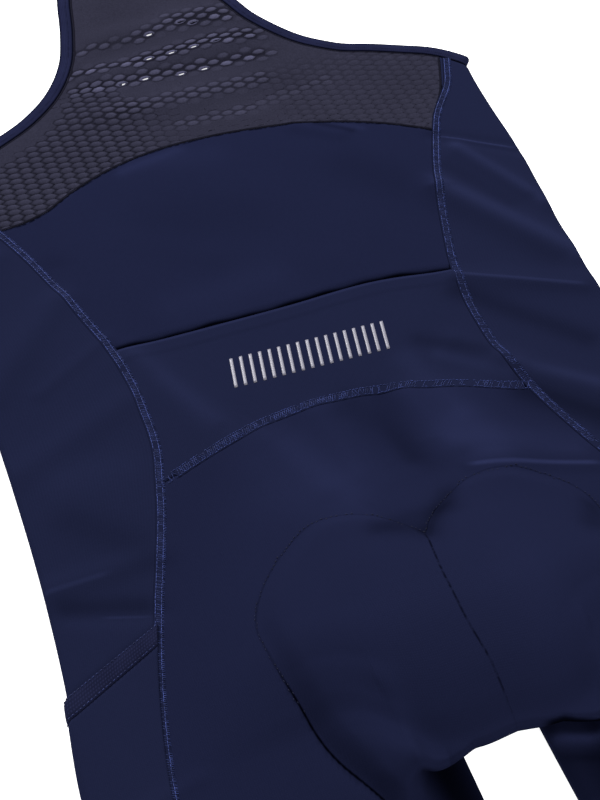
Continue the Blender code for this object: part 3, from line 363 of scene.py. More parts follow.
def dome_height(across, up):
    """Rise of the seat over the folded pad, with the pad's edge and the creases beside it."""
    reach = column(SIDE_SEAM, up) + DOME_CLEAR
    section = np.clip(1.0 - (across/reach)**2, 0.0, 1.0)**2
    rise = held(DOME_RISE, up)*section
    within = pad_inside(across, up)
    rise = rise + PAD_STEP*ease(within, 0.0, PAD_EDGE)*ease(up, *PAD_STEP_UP)
    spring, run = (held(DOME_SPRING, np.abs(across), index) for index in (1, 2))
    rise = rise*ease(up, spring, spring + run)
    near, far = PAD_CREASE_WIDTHS
    depth = PAD_CREASE*ease(up, *PAD_CREASE_TOP)*ease(up, *PAD_CREASE_FOOT)
    width = np.where(within < 0, near, far)
    groove = depth*np.exp(-np.abs(within)/width)*ease(np.abs(across), *PAD_CREASE_ACROSS)
    return rise - np.minimum(groove, rise)


def upper_layer(across, up):
    """Outer face of the upper layer, with the seat leaning out over the crotch."""
    dome = dome_height(across, up)
    reach = held(LIP_LEAN, np.abs(across))
    lean = reach*ease(dome, 0.0, LIP_RISE)*(1.0 - ease(up, *LEAN_UP))
    height = leg_height(across, up) + dome
    return np.stack([across + 0*height, up - lean, height], axis=-1)


def unit(vectors):
    """The vectors brought to a length of one."""
    return vectors/np.maximum(np.linalg.norm(vectors, axis=-1, keepdims=True), 1e-9)


def upright(points, up=1.0):
    """Normals that point straight up, or straight down, one for each point."""
    return np.zeros_like(points) + np.array([0.0, 0.0, up])


def mirrored(points, side):
    """Points of the left side brought to the right, and back; the right side's stay."""
    return points*np.array([side, 1.0, 1.0])


def armhole(side):
    """Table of an armhole's edge, as its distance from the centre line and up."""
    return np.array(ARMHOLE_RIGHT if side > 0 else ARMHOLE_LEFT, float)


def armhole_up(distance, side):
    """Height up the garment of the armhole's edge beside the side fold."""
    rows = armhole(side)[::-1]
    rows = rows[rows[:, 1] < ARMHOLE_BEND_UP]
    return smooth_value(distance, rows[:, 0], rows[:, 1])


def seam_end(table, side):
    """Where a seam across the back runs into the side seam."""
    return settle(float(table[0][1]), lambda up: float(column(table, side*column(SIDE_SEAM, up))))


def seam_top(seam, side):
    """Where a side seam, of the back or of the front, runs into the armhole."""
    return settle(ARMHOLE_BEND_UP, lambda up: float(armhole_up(column(seam, up), side)))


def side_section(up, turn, side, lift):
    """One section round the side: from the back seam, round the fold, to the front seam.

    turn counts the columns: the top run, then the arc of the fold, then the lower run.
    """
    seam = column(SIDE_SEAM, up) + SEAM_GAP
    fold = side_fold(up, side)
    front = column(FRONT_SEAM, up) + SEAM_GAP
    edge = fold - BODY_HEIGHT/2.0
    crown = upper_layer(side*edge, up)[..., 2]
    radius = (crown - lift)/2.0
    centre = fold - radius
    top_part = np.clip(turn/SIDE_TOP_COLUMNS, 0.0, 1.0)
    arc_at = np.clip(turn - SIDE_TOP_COLUMNS, 0.0, len(FOLD_TURN) - 1.0)
    angle = np.interp(arc_at, np.arange(len(FOLD_TURN)), FOLD_TURN)
    low_part = np.clip((turn - SIDE_TOP_COLUMNS - len(FOLD_TURN) + 1)/SIDE_BOTTOM_COLUMNS, 0, 1)
    x_top = seam + (centre - seam)*top_part
    z_top = upper_layer(side*x_top, up)[..., 2]
    z_top = z_top + (crown - z_top)*ease(x_top, fold - FOLD_RUN, centre)
    x_arc = centre + radius*np.cos(angle)
    z_arc = lift + radius + radius*np.sin(angle)
    x_low = centre + (front - centre)*low_part
    on_top = turn <= SIDE_TOP_COLUMNS
    on_low = turn >= SIDE_TOP_COLUMNS + len(FOLD_TURN) - 1
    across = np.where(on_top, x_top, np.where(on_low, x_low, x_arc))
    height = np.where(on_top, z_top, np.where(on_low, lift + 0*x_low, z_arc))
    return across, height


def pocket_lift(up):
    """Height of the side panel's lower run, raised where the leg pocket lies under it."""
    return LEG_LIFT*ease(up, *LEG_LIFT_FOOT)*ease(up, *LEG_LIFT_TOP)


# ---- finer folds that the solids leave out: start, end, height, width left and right
CREASES = [
    (145, 457, 184, 432, 1.0, 1.6, 2.6),
    (148, 445, 172, 389, 1.2, 7, 5),
    (124, 412, 172, 336, 1.5, 9, 7),
    (102, 334, 168, 301, 1.0, 2.5, 4.5),
    (118, 412, 130, 410, 0.6, 2.5, 2.5),
    (-118, 470, -160, 492, 0.8, 6, 5),
    (-104, 352, -150, 322, 0.8, 5, 5),
    (-92, 332, -66, 268, 1.1, 5, 7),
    (-20, 400, 40, 372, 0.5, 14, 14),
    (-70, 430, -30, 398, 0.5, 12, 12),
    (14, 246, 18, 196, -1.5, 8, 8),
    (-10, 257, -5, 206, 1.6, 9, 9),
    (26, 258, 24, 206, -1.4, 7, 7),
    (40, 254, 47, 206, 1.8, 7, 9),
    (60, 198, 112, 184, -1.6, 6, 6),
    (48, 191, 114, 172, 1.0, 6, 4),
    (-53, 70, -53, 34, -2.4, 8, 12),
    (53, 70, 53, 34, -2.2, 12, 8),
    (22, 28, 42, 20, 1.6, 3.5, 3.5),
    (20, 20, 40, 12, -1.2, 3, 3),
    (-66, 26, -58, 16, 1.0, 3, 3),
    (-140, 60, -172, 52, 0.8, 5, 5),
    (-96, 10, -140, -14, 0.7, 6, 6),
    (118, 60, 160, 40, 0.8, 6, 6),
    (140, -90, 172, -100, 0.9, 6, 6),
    (-136, -112, -168, -128, 0.9, 6, 6),
]
# Painted highlights (share above zero) and painted shade (below zero) on the knit along its soft
# folds, and painted shadow under the seat's lip: start, end, share, width left and right
PAINTED_LIGHT_SHADE = [
    (148, 444, 178, 380, 0.34, 5, 4),
    (136, 430, 158, 384, -0.14, 7, 7),
    (124, 414, 176, 330, 0.36, 8, 6),
    (118, 396, 162, 330, -0.12, 12, 12),
    (-93, 333, -63, 266, 0.14, 8, 8),
    (40, 254, 47, 208, 0.12, 9, 9),
    (26, 258, 24, 208, -0.14, 8, 8),
    (-10, 257, -5, 208, 0.08, 10, 10),
    (48, 214, 110, 190, 0.24, 12, 6),
    (-60, 205, -20, 200, 0.08, 18, 18),
    (-4, 160, 22, 160, -0.22, 8, 8),
    (8, 149, 34, 174, -0.14, 7, 4),
    (50, 280, 60, 232, 0.2, 9, 9),
    (60, 225, 64, 196, 0.3, 14, 12),
    (62, 292, 94, 271, -0.2, 6, 6),
    (104, 237, 135, 205, -0.42, 7, 12),
    (68, 278, 99, 252, 0.24, 4.5, 4.5),
    (106, 254, 141, 229, 0.26, 5, 5),
    (98, 322, 152, 262, -0.26, 8, 8),
    (-84, 308, -69, 265, 0.1, 6, 6),
    (-36, 238, -20, 196, 0.27, 16, 22),
    (8, 262, 30, 200, -0.16, 9, 9),
    (-16, 156, 2, 146, -0.3, 7, 7),
    (6, 142, 28, 172, -0.2, 6, 6),
    (-154, 259, -120, 257, 0.1, 12, 12),
    (-155, 228, -126, 199, -0.16, 12, 12),
    (-174, 177, -137, 166, -0.2, 6, 6),
    (88, 128, 96, 142, -0.26, 7, 7),
    (34, 90, 40, 115, 0.06, 16, 16),
    (-50, 500, 0, 490, 0.12, 12, 12),
    (-46, 441, 0, 430, -0.08, 22, 22),
    (80, 450, 100, 425, -0.12, 18, 18),
    (-60, 365, 0, 372, 0.12, 14, 14),
    (-34, 30, -31, -10, -0.82, 17, 9),
    (37, 12, 34, -20, -0.3, 12, 9),
    (24, 27, 46, 18, 1.4, 3.5, 3.5),
    (-56, 492, -18, 501, 0.26, 3, 5),
    (74, 497, 93, 482, -0.3, 2.5, 3),
    (80, 497, 100, 482, 0.24, 2.5, 2.5),
]
# Crease down the middle of the pad: up, across
PAD_MIDDLE = [(60, -1), (83, -2), (96, -4), (113, -3), (134, 1), (150, 5)]
# Thin painted highlights along the sharpest folds: start and end, share that is taken away, half width
SEAT_LINE = ((49, 191, 118, 173), -0.85, 2.6)
SIDE_LINES = {
    1: {"seam": ((143, 459, 184, 432), -0.65, 1.5), "fold": ((102, 334, 170, 300), -0.45, 2.4)},
    -1: {"seam": ((-184, 187, -146, 189), -0.32, 2.6), "fold": ((-158, 165, -133, 157), -0.3, 1.5)},
}
# Bands in which the net is pulled open: start, end, how far, half width
NET_BANDS = [
    (-52, 622, 0, 623, 0.55, 4.0),
    (-10, 623, 26, 636, 0.65, 6.0),
    (16, 634, 60, 632, 0.75, 9.5),
    (-64, 598.5, -4, 597.5, 0.75, 5.0),
    (-18, 597.5, 44, 606, 1.0, 7.0),
    (36, 606, 70, 603, 0.9, 8.0),
    (-64, 580.5, 70, 580.5, 0.75, 6.2),
    (-46, 551, 60, 552, 0.5, 7.0),
    (-12, 525, 44, 526, 0.42, 4.6),
    (44, 527, 100, 540, 0.2, 4.6),
]
# Upper edge of the part at the left where the net lies slack: across, up
SLACK_EDGE = [(-130, 518), (-109, 531), (-92, 543), (-82, 555), (-71, 572), (-59, 588), (-45, 578),
              (-30, 560), (-16, 540)]
# Heights up the garment that evenly spaced rows of the net stand at once it is stretched
NET_STRETCH = [(440, 444), (530, 523), (560, 552), (590, 585), (640, 647), (700, 717)]

SPLIT = 7                   # finer steps in each step of the solids' grids
LIP_SPLIT_ROWS = 9          # rows of the seat's coarse grid below the lip
FIRST_INNER = 14            # its columns between here and the next line are between the legs
LAST_INNER = 18
FRONT_COLUMNS = [0.0, 0.17, 0.34, 0.53, 0.75, 1.0]    # from the inseam to the side seam
FRONT_SPLIT = 6             # finer steps in each of these
FRONT_GAP_COLUMNS = 15      # columns of the front panel between its legs
FRONT_ROWS = 110            # rows and columns of the panels' grids
SIDE_ROWS = 376
BACK_ROWS = 170
BACK_COLUMNS = 150
POCKET_ROWS = 62
LEG_POCKET_ROWS = 90
POCKET_BAND_ROWS = 13
SEWN_ROWS = (1, 11)         # rows of the pocket's elastic that carry stitches
LEG_BAND_ROWS = 24
LEG_BAND_COLUMNS = 60       # across each face of a leg band
LEG_BAND_TURNS = 12         # round each of its folds
ARMHOLE_ROWS = 330          # rows of the side panel whose last one gives the armhole's edge
NET_EDGE_STEP = 2.5         # between the points of a net's outline
HEM_STEP = 1.6              # between those of the strip at its edge
HEM_WIDTH = 1.7
EDGE_ROLL = 0.35            # how far a panel's cut edge rolls down at a seam
SEWING_LIFT = 0.18          # sewing lies this far above the cloth
SEAM_STEP = 4.5             # beside the net the right seam's sewing lies this far to its right


def spread(values, count):
    """Add count - 1 even steps between neighbours along the first axis."""
    values = np.asarray(values, float)
    at = np.arange((len(values) - 1)*count + 1)/count
    low = np.minimum(at.astype(int), len(values) - 2)
    part = (at - low).reshape((-1,) + (1,)*(values.ndim - 1))
    return values[low]*(1 - part) + values[low + 1]*part


def grid_normals(points, wrap=False, wrap_rows=False):
    """Unit normals of a grid, from the differences between each point's neighbours."""
    def change(values, axis, wrapped):
        if wrapped:
            return np.roll(values, -1, axis) - np.roll(values, 1, axis)
        return np.gradient(values, axis=axis)
    return unit(np.cross(change(points, 1, wrap), change(points, 0, wrap_rows)))


def layer_normals(across, up, reach=0.4):
    """Unit normals of the upper layer at any places on it."""
    right = upper_layer(across + reach, up) - upper_layer(across - reach, up)
    ahead = upper_layer(across, up + reach) - upper_layer(across, up - reach)
    return unit(np.cross(right, ahead))


def on_layer(across, up, raise_by):
    """Places on the upper layer, raised along its normals."""
    across, up, raise_by = np.broadcast_arrays(across, up, raise_by)
    return upper_layer(across, up) + layer_normals(across, up)*raise_by[..., None]


def new_mesh(name, vertices, faces, uv=None, shade=None, marks=()):
    """A smooth mesh in metres, centred on the garment, from quads or triangles in millimetres.

    uv holds the place of each vertex in the flat cloth, in millimetres, and shade its tone, which
    paints light and shade into its colour.
    marks holds, for named lines of the cloth, what mark() says about each vertex.
    """
    centre = np.array([0.0, (SHOULDER_UP + BINDING_RAISE + HEM_UP)/2.0, 0.0])
    mesh = bpy.data.meshes.new(name)
    mesh.from_pydata(((vertices - centre)*METRES_PER_MM).tolist(), [], faces.tolist())
    mesh.polygons.foreach_set("use_smooth", np.ones(len(mesh.polygons), bool))
    corners = np.zeros(len(mesh.loops), int)
    mesh.loops.foreach_get("vertex_index", corners)
    if uv is not None:
        layer = mesh.uv_layers.new(name="cloth")
        layer.data.foreach_set("uv", (uv[corners]*METRES_PER_MM).ravel())
    if shade is not None:
        data = mesh.attributes.new("shade", "FLOAT", "POINT").data
        data.foreach_set("value", shade.astype(np.float32))
    for key, values in dict(marks).items():
        data = mesh.attributes.new(key, "FLOAT_VECTOR", "POINT").data
        data.foreach_set("vector", values.astype(np.float32).ravel())
    mesh.update()
    piece = bpy.data.objects.new(name, mesh)
    bpy.context.scene.collection.objects.link(piece)
    return piece


def wall_faces(rows, columns, keep=None, wrap=False, wrap_rows=False):
    """Quads of a closed wall between two grids: both faces, and the rim round the cells kept."""
    number = np.arange(rows*columns).reshape(rows, columns)
    if wrap:
        number = np.concatenate([number, number[:, :1]], axis=1)
    if wrap_rows:
        number = np.concatenate([number, number[:1]], axis=0)
    cells = np.stack([number[:-1, :-1], number[:-1, 1:], number[1:, 1:], number[1:, :-1]], axis=-1)
    cells = (cells if keep is None else cells[keep]).reshape(-1, 4)
    starts = cells.ravel()
    ends = np.roll(cells, -1, axis=1).ravel()
    total = rows*columns
    rim = ~np.isin(ends*total + starts, starts*total + ends)
    sides = np.stack([ends[rim], starts[rim], starts[rim] + total, ends[rim] + total], axis=1)
    return np.concatenate([cells, cells[:, ::-1] + total, sides])


def mark(distance, depth, half):
    """A line painted into the cloth's colour: the distance from it, how much painted shade it adds
    (below zero, painted highlight), and its half width.
    """
    return np.stack(np.broadcast_arrays(distance, depth, half), axis=-1).astype(float)


def line_mark(across, up, line, depth, half):
    """A straight line in the cloth from one place to another, fading at both of its ends."""
    along, off, length = off_line(across, up, line)
    return mark(off, depth*ease(along, -3, 6)*(1 - ease(along, length - 8, length + 3)), half)


def painted_light_shade(across, up, dark=0.0):
    """Highlights and shade painted on the knit along its soft folds, plus the painted shadow that dark
    adds.
    """
    return mark(0.0, dark - fold_relief(across, up, PAINTED_LIGHT_SHADE), 1.0)


def wall(name, outer, thickness, uv=None, keep=None, wrap=False, wrap_rows=False, inner=None,
         roll=EDGE_ROLL, marks=()):
    """A panel of cloth: an outer grid, an inner one below it, and a rim that rolls down a little."""
    normals = grid_normals(outer, wrap, wrap_rows)
    if inner is None:
        inner = outer - thickness*normals
    face = outer.copy()
    if roll:
        if not wrap:
            face[:, [0, -1]] -= roll*normals[:, [0, -1]]
        if not wrap_rows:
            face[[0, -1]] -= roll*normals[[0, -1]]
    if uv is None:
        step_u = np.linalg.norm(np.diff(outer, axis=1), axis=-1)
        step_v = np.linalg.norm(np.diff(outer, axis=0), axis=-1)
        uv = np.stack([np.pad(np.cumsum(step_u, axis=1), ((0, 0), (1, 0))),
                       np.pad(np.cumsum(step_v, axis=0), ((1, 0), (0, 0)))], axis=-1)
    faces = wall_faces(*outer.shape[:2], keep, wrap, wrap_rows)
    used, faces = np.unique(faces, return_inverse=True)
    vertices = np.concatenate([face.reshape(-1, 3), inner.reshape(-1, 3)])[used]
    flat = np.concatenate([uv.reshape(-1, 2)]*2)[used]
    marks = {key: np.concatenate([grid.reshape(-1, 3), grid.reshape(-1, 3)*(1, 0, 1)])[used]
             for key, grid in dict(marks).items()}
    return new_mesh(name, vertices, faces.reshape(-1, 4), flat, marks=marks)


def tubes(name, lines, radius, sides=4, normals=None):
    """Many short threads in one mesh: each a tube round its line, closed at both ends.

    lines has one row of points for each thread; a ring of points stands round each of them.
    radius is one for all, or one for each.
    """
    along = unit(np.gradient(lines, axis=1))
    if normals is None:
        normals = upright(lines)
    beside = unit(np.cross(along, normals))
    above = np.cross(beside, along)
    turn = (np.arange(sides) + 0.5)*2*np.pi/sides
    ring = (beside[:, :, None]*np.cos(turn)[:, None] + above[:, :, None]*np.sin(turn)[:, None])
    points = lines[:, :, None] + np.reshape(radius, (-1, 1, 1, 1))*ring
    count, length = lines.shape[:2]
    number = np.arange(count*length*sides).reshape(count, length, sides)
    after = np.roll(number, -1, axis=2)
    quads = np.stack([number[:, :-1], after[:, :-1], after[:, 1:], number[:, 1:]], axis=-1)
    faces = [quads.reshape(-1, 4), number[:, 0, ::-1], number[:, -1]]
    return new_mesh(name, points.reshape(-1, 3), np.concatenate(faces))


# ---- the cut of each panel
def row_up(across, rows):
    """Height up the garment of the seat's fine rows at places across it, as in its solid."""
    lip, run = (held(LIP_BAND, np.abs(across), index) for index in (1, 2))
    waist = column(WAIST_SEAM, across)
    leg = [HEM_SEAM_UP + part*(lip - HEM_SEAM_UP) for part in LEG_ROWS]
    rise = [lip + part*run for part in LIP_ROWS]
    seat = [lip + run + part*(waist - lip - run) for part in SEAT_ROWS]
    coarse = np.array(leg + rise + seat)
    low = np.minimum(rows.astype(int), len(coarse) - 2)
    part = (rows - low).reshape((-1,) + (1,)*(across.ndim - 1))
    each = np.arange(len(rows))
    return coarse[low, each]*(1 - part) + coarse[low + 1, each]*part


def seat_cut():
    """Fine rows and columns of the seat: across and up, and the cells that are cloth."""
    coarse_rows = len(LEG_ROWS) + len(LIP_ROWS) + len(SEAT_ROWS)
    rows = np.arange((coarse_rows - 1)*SPLIT + 1)/SPLIT
    start = np.full(len(rows), SEAT_REACH)
    ends = {side: settle(start, lambda over: column(SIDE_SEAM, row_up(side*over, rows)))
            for side in (-1, 1)}
    middle = row_up(np.full(len(rows), INSEAM_ACROSS), rows)
    edge = inseam(middle)[:, None]
    share = spread(SEAT_COLUMNS, SPLIT)
    left = -(edge + (ends[-1][:, None] - edge)*share[::-1])
    right = edge + (ends[1][:, None] - edge)*share
    gap = edge*spread([-1.0, -0.5, 0.0, 0.5, 1.0], SPLIT)[1:-1]
    across = np.concatenate([left, gap, right], axis=1)
    keep = np.ones((across.shape[0] - 1, across.shape[1] - 1), bool)
    keep[:LIP_SPLIT_ROWS*SPLIT, FIRST_INNER*SPLIT:LAST_INNER*SPLIT] = False
    return across, row_up(across, rows), keep


def cut_between(lower, upper, rows, columns, lower_gap=0.0, upper_gap=0.0):
    """Cut of a panel between two seams across the back and the two side seams."""
    part = np.linspace(0.0, 1.0, rows)[:, None]
    share = np.linspace(0.0, 1.0, columns)[None]
    lines = []
    for table, gap in ((lower, lower_gap), (upper, upper_gap)):
        left, right = (column(SIDE_SEAM, seam_end(table, side)) for side in (-1, 1))
        lines.append(column(table, -left + share*(left + right)) + gap)
    up = (1 - part)*lines[0] + part*lines[1]
    left, right = -column(SIDE_SEAM, up[:, :1]), column(SIDE_SEAM, up[:, -1:])
    return left + share*(right - left), up


def side_place(up, turn, side):
    """Places on a side panel, lifted where the leg pocket lies under it."""
    across, height = side_section(up, turn, side, pocket_lift(up))
    return np.stack([side*across, up, height], axis=-1)


def fine_turns(top=8, arc=4, low=4):
    """Columns round the side: along the top run, round the fold and along the lower run."""
    first = SIDE_TOP_COLUMNS
    second = first + len(FOLD_TURN) - 1
    third = second + SIDE_BOTTOM_COLUMNS
    return np.concatenate([np.linspace(0, first, first*top + 1)[:-1],
                           np.linspace(first, second, (second - first)*arc + 1)[:-1],
                           np.linspace(second, third, (third - second)*low + 1)])


def side_rows(side, turns, count):
    """Heights up the garment of the side panel's rows, which follow the armhole at their top."""
    stations = np.linspace(HEM_SEAM_UP, seam_top(SIDE_SEAM, side), count)
    top = settle(np.full(len(turns), stations[-1]),
                 lambda up: armhole_up(side_section(up, turns, side, 0.0)[0], side))
    shift = ease(stations, stations[-1] - ARMHOLE_SHIFT, stations[-1])[:, None]
    return stations[:, None] + (top - stations[-1])[None, :]*shift


def facing_out(points, side):
    """The grid with its columns in the order that makes its normals face out."""
    return points if side > 0 else points[:, ::-1]


def armhole_run(side, start_up, count):
    """The armhole's edge on the back from a place beside it to the end of its table."""
    fine = outline(armhole(side), FINE_POINTS)
    low = np.argmin(np.abs(fine[:, 1] - start_up) + (fine[:, 0] > column(SIDE_SEAM, start_up) + 4)*99)
    high = np.argmin(np.abs(fine[:, 1] - YOKE_TOP_UP))
    picks = np.linspace(low, high, count).round().astype(int)
    line = fine[picks]
    line[0] = (column(SIDE_SEAM, start_up), start_up)
    line[-1, 1] = YOKE_TOP_UP
    return line


# ---- net
def inside(points, edge):
    """Whether points lie inside a closed outline, by counting the sides that each one's ray meets."""
    x, y = points[:, None, 0], points[:, None, 1]
    x0, y0 = edge[None, :, 0], edge[None, :, 1]
    x1, y1 = np.roll(x0, -1, 1), np.roll(y0, -1, 1)
    crosses = ((y0 > y) != (y1 > y)) & (x < x0 + (y - y0)*(x1 - x0)/np.where(y1 == y0, 1.0, y1 - y0))
    return crosses.sum(axis=1) % 2 == 1


def nearest(points, edge):
    """The nearest place on a closed outline to each point, and its distance."""
    start = edge[None]
    step = np.roll(edge, -1, 0)[None] - start
    part = ((points[:, None] - start)*step).sum(-1)/np.maximum((step**2).sum(-1), 1e-9)
    place = start + np.clip(part, 0, 1)[..., None]*step
    far = np.linalg.norm(points[:, None] - place, axis=-1)
    best = far.argmin(axis=1)
    each = np.arange(len(points))
    return place[each, best], far[each, best]


def net_open(across, up):
    """How far the net is pulled open at each place, and how far that place is up in its band."""
    opened = np.zeros(np.shape(across))
    height = np.zeros(np.shape(across))
    for *line, strength, width in NET_BANDS:
        along, off, length = off_line(across, up, line)
        reach = ease(along, -8, 4)*(1 - ease(along, length - 4, length + 8))
        here = strength*reach*np.exp(-(off/width)**4)
        height = np.where(here > opened, off/width, height)
        opened = np.maximum(opened, here)
    return opened, height


def net_look(across, up):
    """Look of the yoke's net: how open, how far up in its band, and its outline's strength."""
    opened, height = net_open(across, up)
    slack = 1 - ease(up - held(SLACK_EDGE, across), -5, 3)
    slack = slack*(1 - ease(across, -50, 0))
    right = 0.35*ease(across, 46, 74)*(1 - ease(up, 552, 572))
    return opened, height, np.clip(np.maximum(slack, right) + 1.2*opened, 0.0, 1.0)


def strap_look(across, run):
    """Look of a strap's net: bands like those of the yoke, one after another."""
    opened = 0.55*np.exp(-((run % 27.0 - 13.0)/6.5)**4) + 0*across
    return opened, 0*opened, np.clip(0.3 + 1.2*opened, 0.0, 1.0)


def yoke_rows(across, row):
    """Height up the garment of the net's even rows, which part and climb rightward higher up."""
    return column(NET_STRETCH, row) + 0.1*across*ease(row, 572, 600)


def strap_rows(across, row):
    """A strap's rows stay level and evenly spaced."""
    return row + 0*across


# cells pulled open and low in their band get a painted paler patch, as of light through the net
NET_LOW_OPENING = 0.62      # cells in a band pulled open more than this
NET_LOW_HEIGHT = -0.12      # that lie lower than this are paler
NET_CUT_ACROSS = 46.0       # and within this of the middle line
NET_CUT_SHARE = 0.7         # this share of them is cut through
CELL_RINGS = 7              # rings of points in each cell of the net
LENS_RINGS = (1.0, 0.9, 0.62)    # foot of the patch, its shoulder and the edge of its top


def net_cell(wide, tall):
    """Outlines of one cell of the net round its middle: its rim, its patch and its slit.

    The rim is a hexagon with level top and bottom. The patch's outline lies between a
    superellipse and the hexagon, and the slit is a smaller patch below the middle, which leans.
    """
    tip, shoulder = 0.63*wide, 0.37*wide
    corners = np.array([(tip, 0), (shoulder, tall/2), (-shoulder, tall/2), (-tip, 0),
                        (-shoulder, -tall/2), (shoulder, -tall/2)])
    rim = spread(np.concatenate([corners, corners[:1]]), 2)[:-1]
    turn = np.arctan2(rim[:, 1], rim[:, 0])
    lens_wide, lens_tall, power = 0.62*wide, 0.36*tall, 1.4
    reach = (np.abs(np.cos(turn)/lens_wide)**power + np.abs(np.sin(turn)/lens_tall)**power)
    lens = np.stack([np.cos(turn), np.sin(turn)], 1)*(reach**(-1/power))[:, None]
    lens = 0.52*lens + 0.48*rim
    slit = np.array([0.06*wide, -0.14*tall]) + np.array([0.7, 0.32])*lens
    slit[:, 1] += 0.12*slit[:, 0]
    return rim, turn, lens, slit


def net_tones(turn, opened, strength, amount, is_low, at_rim):
    """Tones painted on the rings of the cells: painted shade in the groove and at the patch's foot,
    and the patch painted lighter, most where the net is pulled open, and lighter towards the light.
    """
    floor_open, floor_strength = at_rim[0], at_rim[2]
    lit = 1 + strength[:, None]*(0.22*np.sin(turn) + 0.1*np.cos(turn))
    groove = 1 - floor_strength*(0.4 + 0.24*floor_open)
    near = (1 - strength*(0.5 + 0.2*opened))[:, None]
    patch = (1 + 0.2*strength + 1.2*opened*amount + 0.9*is_low)[:, None]
    return np.stack(np.broadcast_arrays(groove, near, (0.45*patch + 0.55*near)*lit, patch*lit,
                                        1.3*patch, 1.3*patch, 0.6), 1)


def net_mesh(name, edge, place, look, rows, pitch, thickness):
    """A net: a lattice of cells, each with a lens-shaped patch of thin knit, painted lighter, in a
    groove with painted shade.

    The cells stand in columns, each column half a cell up from its neighbours. Rings of points
    run from a cell's rim, the floor of the groove, to its patch, and in a cell that is cut
    through on to its slit and to the other face. look gives the net's look at flat places, rows
    the heights of the lattice's rows, and place turns flat places into points and normals on the
    lying garment.
    """
    wide, tall = pitch
    low, high = edge.min(0) - wide, edge.max(0) + wide
    row = np.arange(math.ceil((low[1] - 25)/tall), math.floor((high[1] + 25)/tall) + 1)
    col = np.arange(math.ceil(low[0]/wide), math.floor(high[0]/wide) + 1)
    grid = np.stack(np.meshgrid(col, row, indexing="ij"), -1).reshape(-1, 2)
    cells = np.stack([grid[:, 0]*wide, (grid[:, 1] + 0.5*(grid[:, 0] % 2))*tall], 1)
    centres = np.stack([cells[:, 0], rows(cells[:, 0], cells[:, 1])], 1)
    _near, far = nearest(centres, edge)
    chosen = inside(centres, edge) | (far < 0.7*wide)
    cells, centres, far = cells[chosen], centres[chosen], far[chosen]
    rim, turn, lens, slit = net_cell(wide, tall)
    sides = len(rim)
    draw = np.random.default_rng(31)
    opened, height, strength = look(centres[:, 0], centres[:, 1])
    amount = draw.uniform(0.75, 1.25, len(centres))
    is_low = (opened > NET_LOW_OPENING) & (height < NET_LOW_HEIGHT)
    is_open = is_low & (np.abs(centres[:, 0]) < NET_CUT_ACROSS)
    is_open &= draw.uniform(size=len(centres)) < NET_CUT_SHARE
    size = 0.96 + 0.05*draw.uniform(-1, 1, (len(centres), 2))
    size[:, 1] *= 1.2 - 0.2*ease(opened, 0.0, 0.4)
    lean = 0.02 + 0.14*ease(cells[:, 1], 572, 600) + draw.normal(0, 0.03, len(centres))
    hexagon = cells[:, None] + rim[None]
    hexagon[..., 1] = rows(hexagon[..., 0], hexagon[..., 1])
    patches = size[:, None]*lens[None]
    patches[..., 1] += lean[:, None]*patches[..., 0]
    flats = [hexagon] + [centres[:, None] + share*patches for share in LENS_RINGS]
    flats += [centres[:, None] + slit[None]]*2 + [hexagon]
    flat = np.stack(flats, 1)
    at_rim = look(hexagon[..., 0], hexagon[..., 1])
    zero = np.zeros((len(centres), sides))
    sunk = 0.3*strength[:, None] + zero
    # heights of the rings: groove, foot, shoulder and top of the patch, slit twice, other face
    levels = (-0.3*at_rim[2], -sunk, -0.4*sunk, 0.1*sunk, -0.1 + zero, -0.4 + zero,
              -thickness + zero)
    level = np.stack(levels, 1).ravel()
    shade = net_tones(turn, opened, strength, amount, is_low, at_rim)
    number = np.arange(len(centres)*CELL_RINGS*sides).reshape(len(centres), CELL_RINGS, sides)
    after = np.roll(number, -1, axis=2)

    def ring_quads(which, first):
        return np.stack([number[which, first], after[which, first],
                         after[which, first + 1], number[which, first + 1]], -1).reshape(-1, 4)

    def lid(fan):
        return [fan[:, [0, k, k + 1, k + 2]] for k in range(1, sides - 2, 2)]
    quads = [ring_quads(slice(None), first) for first in range(3)]
    quads += [ring_quads(is_open, first) for first in range(3, 6)]
    faces = np.concatenate(quads + lid(number[~is_open, 3]) + lid(number[~is_open, 6, ::-1]))
    flat = flat.reshape(-1, 2)
    border = np.repeat(far < 1.1*wide, CELL_RINGS*sides)
    outside = np.zeros(len(flat), bool)
    outside[border] = ~inside(flat[border], edge)
    flat[outside] = nearest(flat[outside], edge)[0]
    faces = faces[~outside[faces].all(axis=1)]
    used, faces = np.unique(faces, return_inverse=True)
    flat, level, shade = flat[used], level[used], shade.ravel()[used]
    points, normals = place(flat)
    return new_mesh(name, points + normals*level[:, None], faces.reshape(-1, 4), flat, shade)


def merge_close(piece, distance=0.00002):
    """Weld points that lie together, and drop the edges that this leaves with no length."""
    shape = bmesh.new()
    shape.from_mesh(piece.data)
    bmesh.ops.remove_doubles(shape, verts=shape.verts, dist=distance)
    bmesh.ops.dissolve_degenerate(shape, edges=shape.edges, dist=distance/4)
    shape.to_mesh(piece.data)
    shape.free()


def join(name, pieces):
    """One mesh from several: the first piece takes in the others."""
    with bpy.context.temp_override(active_object=pieces[0], selected_editable_objects=pieces,
                                   selected_objects=pieces):
        bpy.ops.object.join()
    pieces[0].name = name
    return pieces[0]


# ---- lines that sewing and tapes follow
def beside_line(line, at, off):
    """Places at distances along a line in the flat cut, and at distances to its left."""
    lengths = run_lengths(line)
    heading = unit(np.gradient(line, axis=0))
    x, y = (np.interp(at, lengths, line[:, k]) for k in (0, 1))
    run_x, run_y = (np.interp(at, lengths, heading[:, k]) for k in (0, 1))
    return x - off*run_y, y + off*run_x


def line_length(line):
    """Length of a line of points."""
    return float(np.linalg.norm(np.diff(line, axis=0), axis=1).sum())


